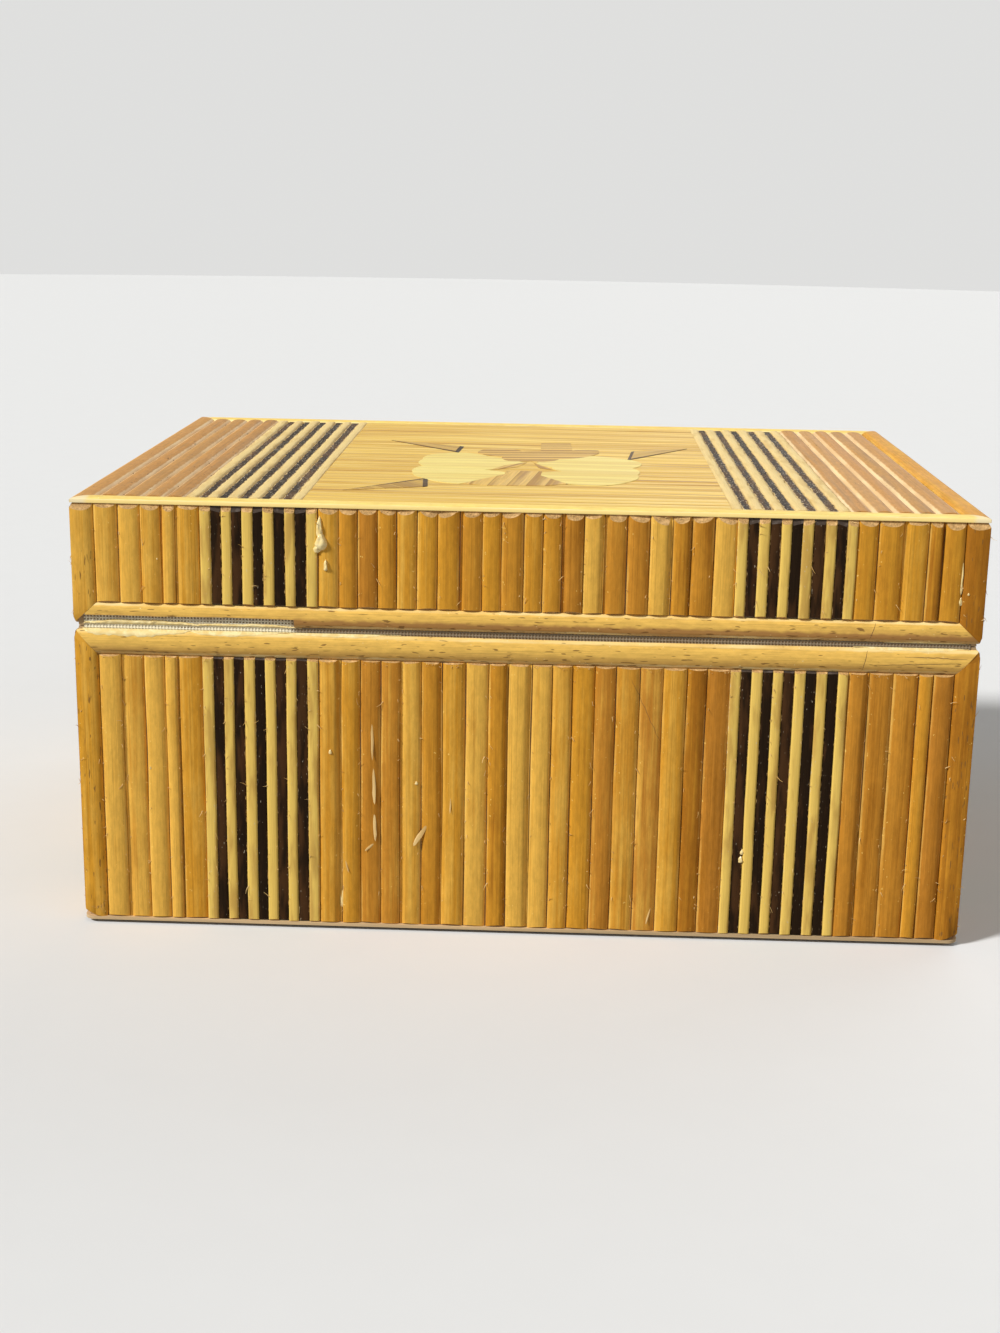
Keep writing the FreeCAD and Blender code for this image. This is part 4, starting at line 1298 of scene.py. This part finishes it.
class REEDBOX_OT_rim_rails(bpy.types.Operator):
    """Rails along the seam; the lid's hinge rail has lost a splinter"""

    bl_idname = "reed_box.rim_rails"
    bl_label = "Rim rails"
    bl_options = {"REGISTER", "UNDO"}

    def execute(self, context):
        sizes = context.scene.reed_box
        for body in BODIES:
            materials = [rail_finish(sizes, body), cut_end_finish(sizes)]
            for face, outward in FACES.items():
                node = f"{body}_{face}_rim_rail"
                low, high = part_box(node)
                along = UP.cross(outward)
                bar = self.rail(sizes, random.Random(node), Seat(low, high, outward, along))
                for aside in (along, -along):
                    mitre_against(bar, body, outward, aside, 1)
                    cut_corner(bar, corner_of(BOARD_HIGH, outward + aside), outward, aside)
                bars = [bar]
                if (body, face) == ("lid", "hinge"):
                    bars = self.split(bar, low, high)
                add_piece(f"rim_rail_{body}_{face}", bars, materials, body, [node])
        return {"FINISHED"}

    def rail(self, sizes, chance, seat):
        """One rail, with square ends that its mitres cut."""
        bends = (0.5 * sizes.reed_sway, 0.5 * sizes.reed_swell, 55 * MM)
        bar = half_round_bar(seat, 14, 26, 2.1, wider=0)
        return lay_bar(bar, seat, chance, bends, (0.4, 0.6))

    def split(self, bar, low, high):
        """The rail in two: at the left only its upper half, with a torn lower side."""
        middle = Vector((SPLIT_END, BOARD_LOW.y, (low.z + high.z) / 2))
        whole = bar.copy()
        cut_bar(whole, middle, -ALONG_X)
        cut_bar(bar, middle, ALONG_X)
        cut_bar(bar, middle, SPLIT_SLOPE)
        torn = [vert for vert in bar.verts if abs((vert.co - middle).dot(SPLIT_SLOPE)) < TINY]
        for vert in torn:
            vert.co.z += 0.25 * MM * noise.noise(vert.co * 160)
        return [whole, bar]


class REEDBOX_OT_top_rails(bpy.types.Operator):
    """Rounded rails round the top of the lid"""

    bl_idname = "reed_box.top_rails"
    bl_label = "Top rails"
    bl_options = {"REGISTER", "UNDO"}

    OVERHANG = 0.45 * MM     # of the veneer's corner past the rails

    def execute(self, context):
        sizes = context.scene.reed_box
        chance = random.Random("top rails")
        materials = [pale_rail_finish(sizes), cut_end_finish(sizes), brown_reed_finish(sizes),
                     natural_reed_finish(sizes)]
        bars = [self.rail(sizes, chance, low, high) for low, high in loose_boxes("top_edge_rails")]
        add_piece("top_rails", bars, materials, "lid", ["top_edge_rails"])
        return {"FINISHED"}

    def rail(self, sizes, chance, low, high):
        """One rail; the left one is of brown reed, and the right one of natural reed."""
        size = high - low
        middle = (low + high) / 2
        along = ALONG_X if size.x > size.y else ALONG_Y
        outward = Vector((math.copysign(along.y, middle.x), math.copysign(along.x, middle.y), 0))
        seat = Seat(low, high, UP, along)
        bends = (0.4 * sizes.reed_sway, 0.4 * sizes.reed_swell, 60 * MM)
        bar = lay_bar(half_round_bar(seat, 14, 24, 2.5, wider=0), seat, chance, bends, (0.45, 0.7))
        for aside in (along, -along):
            cut_corner(bar, corner_of(VENEER_HIGH, outward + aside), outward, aside)
        cut_bar(bar, corner_of(VENEER_HIGH, outward) - outward * self.OVERHANG, outward, SKIN)
        if along is ALONG_Y:
            for face in bar.faces:
                face.material_index = 2 if outward.x < 0 else 3
        return bar


class REEDBOX_OT_top_reeds(bpy.types.Operator):
    """Brown reeds across both ends of the top"""

    bl_idname = "reed_box.top_reeds"
    bl_label = "Top reeds"
    bl_options = {"REGISTER", "UNDO"}

    def execute(self, context):
        sizes = context.scene.reed_box
        chance = random.Random("top reeds")
        bends = (sizes.reed_sway, sizes.reed_swell, 34 * MM)
        seats = [Seat(low, high, UP, ALONG_Y) for low, high in loose_boxes("top_brown_reeds")]
        bars = [lay_bar(half_round_bar(seat, 10, 16), seat, chance, bends, (0.3, 0.7))
                for seat in seats]
        add_piece("top_reeds", bars, [brown_reed_finish(sizes), cut_end_finish(sizes)], "lid",
                  ["top_brown_reeds"])
        return {"FINISHED"}


class REEDBOX_OT_straw_field(bpy.types.Operator):
    """Split straws of the field"""

    bl_idname = "reed_box.straw_field"
    bl_label = "Straw field"
    bl_options = {"REGISTER", "UNDO"}

    def execute(self, context):
        sizes = context.scene.reed_box
        skin = straw_finish("Straw", tuple(sizes.straw_colour))
        chance = random.Random("straw")
        bends = (0.1 * MM, 0.12, 30 * MM)
        seats = [Seat(low, high, UP, ALONG_X) for low, high in loose_boxes("top_straw_field")]
        bars = [lay_bar(flat_bar(seat, 12, 0.12 * MM), seat, chance, bends, (0, 1))
                for seat in seats]
        add_piece("straw_field", bars, [skin, cut_end_finish(sizes)], "lid",
                  ["top_straw_field"])
        return {"FINISHED"}


class REEDBOX_OT_flower(bpy.types.Operator):
    """Flower inlaid in the straw field"""

    bl_idname = "reed_box.flower"
    bl_label = "Flower"
    bl_options = {"REGISTER", "UNDO"}

    def execute(self, context):
        for inlay in INLAYS:
            self.inlay(*inlay)
        return {"FINISHED"}

    def inlay(self, node, low_colour, high_colour, shading, turns):
        """Bevelled copies of a node's pieces, each with the grain turned its own way."""
        skin = inlay_finish(node.replace("_", " ").capitalize(), low_colour, high_colour, shading)
        chance = random.Random(node)
        bars = []
        for number, part in enumerate(loose_parts(node)):
            top = max(vert.co.z for vert in part.verts) - TINY
            bmesh.ops.dissolve_limit(part, angle_limit=0.01, verts=part.verts[:],
                                     edges=part.edges[:])
            rim = [edge for edge in part.edges if min(vert.co.z for vert in edge.verts) > top]
            for vert in part.verts:
                if vert.co.z > top:
                    vert.co.z -= INLAY_SINK
            bmesh.ops.bevel(part, geom=rim, offset=INLAY_BEVEL, affect="EDGES", segments=2,
                            profile=0.5, material=-1)
            seed = chance.uniform(0, SEEDS)
            mark_inlay(part, chance.random(), seed, turns[number % len(turns)])
            bars.append(part)
        piece = add_piece(node + "_inlay", bars, [skin], "lid", [node])
        piece.data.shade_flat()


class REEDBOX_OT_hinge_cloth(bpy.types.Operator):
    """Woven cloth glued across the seam, which is the hinge"""

    bl_idname = "reed_box.hinge_cloth"
    bl_label = "Hinge cloth"
    bl_options = {"REGISTER", "UNDO"}

    def execute(self, context):
        sizes = context.scene.reed_box
        low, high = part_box("hinge_cloth")
        size = high - low
        middle = (low + high) / 2
        cloth = mesh_object("hinge_cloth_strip", self.strip(size, middle))
        cloth.data.materials.append(
            cloth_finish("Hinge cloth", tuple(sizes.cloth_colour), CLOTH_PITCH))
        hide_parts("hinge_cloth")
        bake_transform(cloth)
        return {"FINISHED"}

    def strip(self, size, middle):
        """The cloth as an upright sheet with slight ripples."""
        strip = bmesh.new()
        bmesh.ops.create_grid(strip, x_segments=160, y_segments=44, size=0.5)
        bmesh.ops.scale(strip, vec=(size.x, size.z, 1), verts=strip.verts[:])
        bmesh.ops.transform(strip, matrix=Matrix.Rotation(math.pi / 2, 4, "X"),
                            verts=strip.verts[:])
        grain = strip.loops.layers.uv.new("Grain")
        for face in strip.faces:
            face.smooth = True
            for loop in face.loops:
                loop[grain].uv = (loop.vert.co.x, loop.vert.co.z)
        for vert in strip.verts:
            ripple = noise.noise(Vector((vert.co.x * 90, vert.co.z * 160, 2.2)))
            vert.co += middle + Vector((0, 0.05 * MM * ripple, 0))
        return strip


class REEDBOX_OT_cracks(bpy.types.Operator):
    """Hair cracks in the rails and reeds of the hinge side"""

    bl_idname = "reed_box.cracks"
    bl_label = "Hair cracks"
    bl_options = {"REGISTER", "UNDO"}

    def execute(self, context):
        skin = crack_finish("Hair crack")
        for body in BODIES:
            bars = [self.crack(*line) for line in HAIR_CRACKS[body]]
            add_piece(f"cracks_{body}", bars, [skin], body)
        return {"FINISHED"}

    def crack(self, start, end, width):
        """Dark line that follows the surface from one point to another."""
        start = Vector((start[0], start[1]))
        span = Vector((end[0], end[1])) - start
        aside = Vector((-span.y, span.x)).normalized()

        def place(along, across):
            shake = 0.25 * noise.noise(Vector((along * span.length * 0.5, start.x, 0)))
            narrow = 0.35 + 0.65 * math.sin(math.pi * along)
            spot = start + span * along + aside * (shake + (across - 0.5) * width * narrow)
            return hinge_side(spot.x, spot.y) + FACES["hinge"] * 0.012 * MM
        return draped_patch(max(6, int(span.length * 2.5)), 1, CRACK_SKIN, place)


class REEDBOX_OT_dried_glue(bpy.types.Operator):
    """Runs of dried glue on the reeds and along the seam"""

    bl_idname = "reed_box.dried_glue"
    bl_label = "Dried glue"
    bl_options = {"REGISTER", "UNDO"}

    def execute(self, context):
        skin = glue_finish("Dried glue")
        for body in BODIES:
            bars = []
            for number, (x, z, width, height, thickness) in enumerate(GLUE_RUNS[body]):
                bars.append(glue_drop(hinge_side(x, z), width * MM, height * MM, thickness * MM,
                                      7.3 * number))
            bars += [self.smear(*smear) for smear in GLUE_SMEARS[body]]
            add_piece(f"glue_{body}", bars, [skin], body)
        return {"FINISHED"}

    def smear(self, left, right, low, high, thickness):
        """Skin of glue with a wavy edge, between two heights on the hinge side."""
        def place(along, up):
            x = left + (right - left) * along
            wave = noise.noise(Vector((x * 0.16, low, 0.5)))
            wave += 0.4 * noise.noise(Vector((x * 0.7, 0, low)))
            taper = math.sqrt(max(0.0, math.sin(math.pi * min(1, max(0, along)))))
            reach = (high - low) * max(0.12, 0.75 * taper + 0.35 * wave)
            z = high - reach * (1 - up) if low < SEAM / MM else low + reach * up
            lump = 1 + 0.8 * noise.noise(Vector((x * 0.8, z * 2, 3)))
            swell = thickness * MM * math.sin(math.pi * up) * lump
            return hinge_side(x, z) + FACES["hinge"] * (0.06 * MM + swell)
        return draped_patch(int((right - left) * 2.2), 5, GLUE_SKIN, place)


class REEDBOX_OT_frayed_fibres(bpy.types.Operator):
    """Fibres that stand off the reeds' edges and cut ends, and torn slivers"""

    bl_idname = "reed_box.frayed_fibres"
    bl_label = "Frayed fibres"
    bl_options = {"REGISTER", "UNDO"}

    def execute(self, context):
        sizes = context.scene.reed_box
        skin = fibre_finish("Frayed fibre")
        for body in BODIES:
            chance = random.Random(f"fibres {body}")
            nodes = [f"{body}_{face}_reeds" for face in FACES]
            nodes += [f"{body}_pale_strips", f"{body}_corner_stiles"]
            bars = []
            for node in nodes:
                for low, high in loose_boxes(node):
                    seat = Seat(low, high, outward_of(low, high), UP)
                    bars += self.edge_fibres(sizes, chance, seat)
                    if "stiles" not in node:
                        bars += self.end_fibres(chance, seat)
            if body == "base":
                for root, tip, width in TORN_SLIVERS:
                    bars.append(torn_sliver(hinge_side(*root), hinge_side(*tip), width * MM))
                bars += self.foot_fibres(chance)
            add_piece(f"fibres_{body}", bars, [skin], body)
        return {"FINISHED"}

    def edge_fibres(self, sizes, chance, seat):
        """Short whiskers along the two long edges of a strip."""
        hairs = []
        for _ in range(int(chance.triangular(0, seat.length / FIBRE_SPACING, 2))):
            aside = seat.across * chance.choice((-1, 1))
            place = (seat.origin + UP * chance.uniform(0.04, 0.96) * seat.length
                     + aside * seat.width * chance.uniform(0.36, 0.46))
            root = surface_at(place, seat.outward)
            way = (UP * chance.choice((-1, 1)) * chance.uniform(0.4, 1)
                   + aside * chance.uniform(-0.5, 0.8)
                   + seat.outward * chance.uniform(0.1, 0.6))
            length = min(sizes.fibre_length, SHORTEST_FIBRE + chance.expovariate(1 / USUAL_FIBRE))
            thickness = chance.uniform(0.07, 0.14) * MM
            hairs.append(fibre(chance, root, way, seat.outward, length, thickness))
        return hairs

    def end_fibres(self, chance, seat):
        """Fuzz on the cut end under a rail."""
        hairs = []
        for _ in range(chance.choice((0, 1, 2, 4, 6))):
            depth = chance.uniform(0.2, 1.2) * MM
            place = (seat.origin + UP * (seat.length - depth)
                     + seat.across * seat.width * chance.uniform(-0.42, 0.42))
            root = surface_at(place, seat.outward)
            way = (UP * chance.uniform(-0.2, 0.8) + seat.across * chance.uniform(-0.7, 0.7)
                   + seat.outward * chance.uniform(0.1, 0.7))
            length = chance.uniform(0.3, 0.9) * MM
            thickness = chance.uniform(0.06, 0.12) * MM
            hairs.append(fibre(chance, root, way, seat.outward, length, thickness))
        return hairs

    def foot_fibres(self, chance):
        """Tuft at the left foot of the hinge side."""
        hairs = []
        for number in range(FOOT_FIBRES):
            root = hinge_side(-121.5 + 0.5 * number, 4.5 + 0.3 * number)
            way = Vector((chance.uniform(-0.5, 0.3), -0.6, chance.uniform(-1, 0.6)))
            length = chance.uniform(1.2, 2.4) * MM
            hairs.append(fibre(chance, root, way, UP, length, 0.06 * MM))
        return hairs


class REEDBOX_OT_stage(bpy.types.Operator):
    """Pale floor, soft lights and the camera"""

    bl_idname = "reed_box.stage"
    bl_label = "Stage"
    bl_options = {"REGISTER", "UNDO"}

    def execute(self, context):
        sizes = context.scene.reed_box
        self.floor(tuple(sizes.floor_colour))
        self.world(tuple(sizes.floor_colour))
        for light in LIGHTS:
            self.light(*light)
        self.camera(sizes)
        return {"FINISHED"}

    def floor(self, colour):
        """Round floor, large enough to fill the view."""
        disc = bmesh.new()
        bmesh.ops.create_circle(disc, cap_ends=True, segments=96, radius=FLOOR_RADIUS)
        floor = mesh_object("floor", disc)
        finish = Finish("Floor")
        speck = finish.noise(finish.place(), 60.0, 2.0)
        shade = finish.mix(speck, times(colour, 0.98), colour)
        shade = finish.mix(seen_rays(finish.tree), times(colour, FLOOR_BOUNCE), shade)
        floor.data.materials.append(finish.finish(shade, 0.9, Specular_IOR_Level=0.1))

    def world(self, colour):
        """Even surroundings that light the box softly and look as pale as the floor."""
        world = bpy.data.worlds.new("Studio")
        world.use_nodes = True
        tree = world.node_tree
        background = tree.nodes["Background"]
        background.inputs["Color"].default_value = (*colour, 1)
        strength = tree.nodes.new("ShaderNodeMapRange")
        strength.inputs["To Min"].default_value = WORLD_LIGHT
        strength.inputs["To Max"].default_value = 1.0
        tree.links.new(seen_rays(tree), strength.inputs["Value"])
        tree.links.new(strength.outputs[0], background.inputs["Strength"])
        bpy.context.scene.world = world

    def light(self, name, way, angle, power):
        """Soft light from far away in a direction."""
        data = bpy.data.lights.new(name, "SUN")
        data.angle = angle
        data.energy = power
        lamp = new_object(name, data)
        lamp.rotation_euler = (-Vector(way)).to_track_quat("-Z", "Y").to_euler()

    def camera(self, sizes):
        """Camera at the photograph's viewing angle."""
        data = bpy.data.cameras.new("Camera")
        data.sensor_width = SENSOR_HEIGHT
        data.lens = sizes.camera_lens
        data.clip_start = NEAREST
        camera = new_object("Camera", data)
        yaw, pitch, roll = sizes.camera_turn
        turn = (Matrix.Rotation(yaw, 4, "Z") @ Matrix.Rotation(math.pi / 2 - pitch, 4, "X")
                @ Matrix.Rotation(roll, 4, "Z"))
        camera.matrix_world = Matrix.Translation(sizes.camera_place) @ turn
        bpy.context.scene.camera = camera
        bpy.context.scene.view_settings.view_transform = "Standard"


OPERATORS = (
    REEDBOX_OT_carcass,
    REEDBOX_OT_side_reeds,
    REEDBOX_OT_bands,
    REEDBOX_OT_corner_stiles,
    REEDBOX_OT_rim_rails,
    REEDBOX_OT_top_rails,
    REEDBOX_OT_top_reeds,
    REEDBOX_OT_straw_field,
    REEDBOX_OT_flower,
    REEDBOX_OT_hinge_cloth,
    REEDBOX_OT_cracks,
    REEDBOX_OT_dried_glue,
    REEDBOX_OT_frayed_fibres,
    REEDBOX_OT_stage,
)


class REEDBOX_PT_pieces(bpy.types.Panel):
    """Sizes, colours and the pieces in the order in which they are made"""

    bl_idname = "REEDBOX_PT_pieces"
    bl_label = "Reed Box"
    bl_space_type = "VIEW_3D"
    bl_region_type = "UI"
    bl_category = "Reed Box"

    def draw(self, context):
        column = self.layout.column(align=True)
        for name in ReedBoxSettings.__annotations__:
            column.prop(context.scene.reed_box, name)
        column.separator()
        for operator in OPERATORS:
            column.operator(operator.bl_idname)


CLASSES = (ReedBoxSettings, *OPERATORS, REEDBOX_PT_pieces)


def register():
    for kind in CLASSES:
        bpy.utils.register_class(kind)
    bpy.types.Scene.reed_box = bpy.props.PointerProperty(type=ReedBoxSettings)


def unregister():
    del bpy.types.Scene.reed_box
    for kind in reversed(CLASSES):
        bpy.utils.unregister_class(kind)


def main():
    register()
    for operator in OPERATORS:
        group, name = operator.bl_idname.split(".")
        getattr(getattr(bpy.ops, group), name)()


if __name__ == "__main__":
    main()
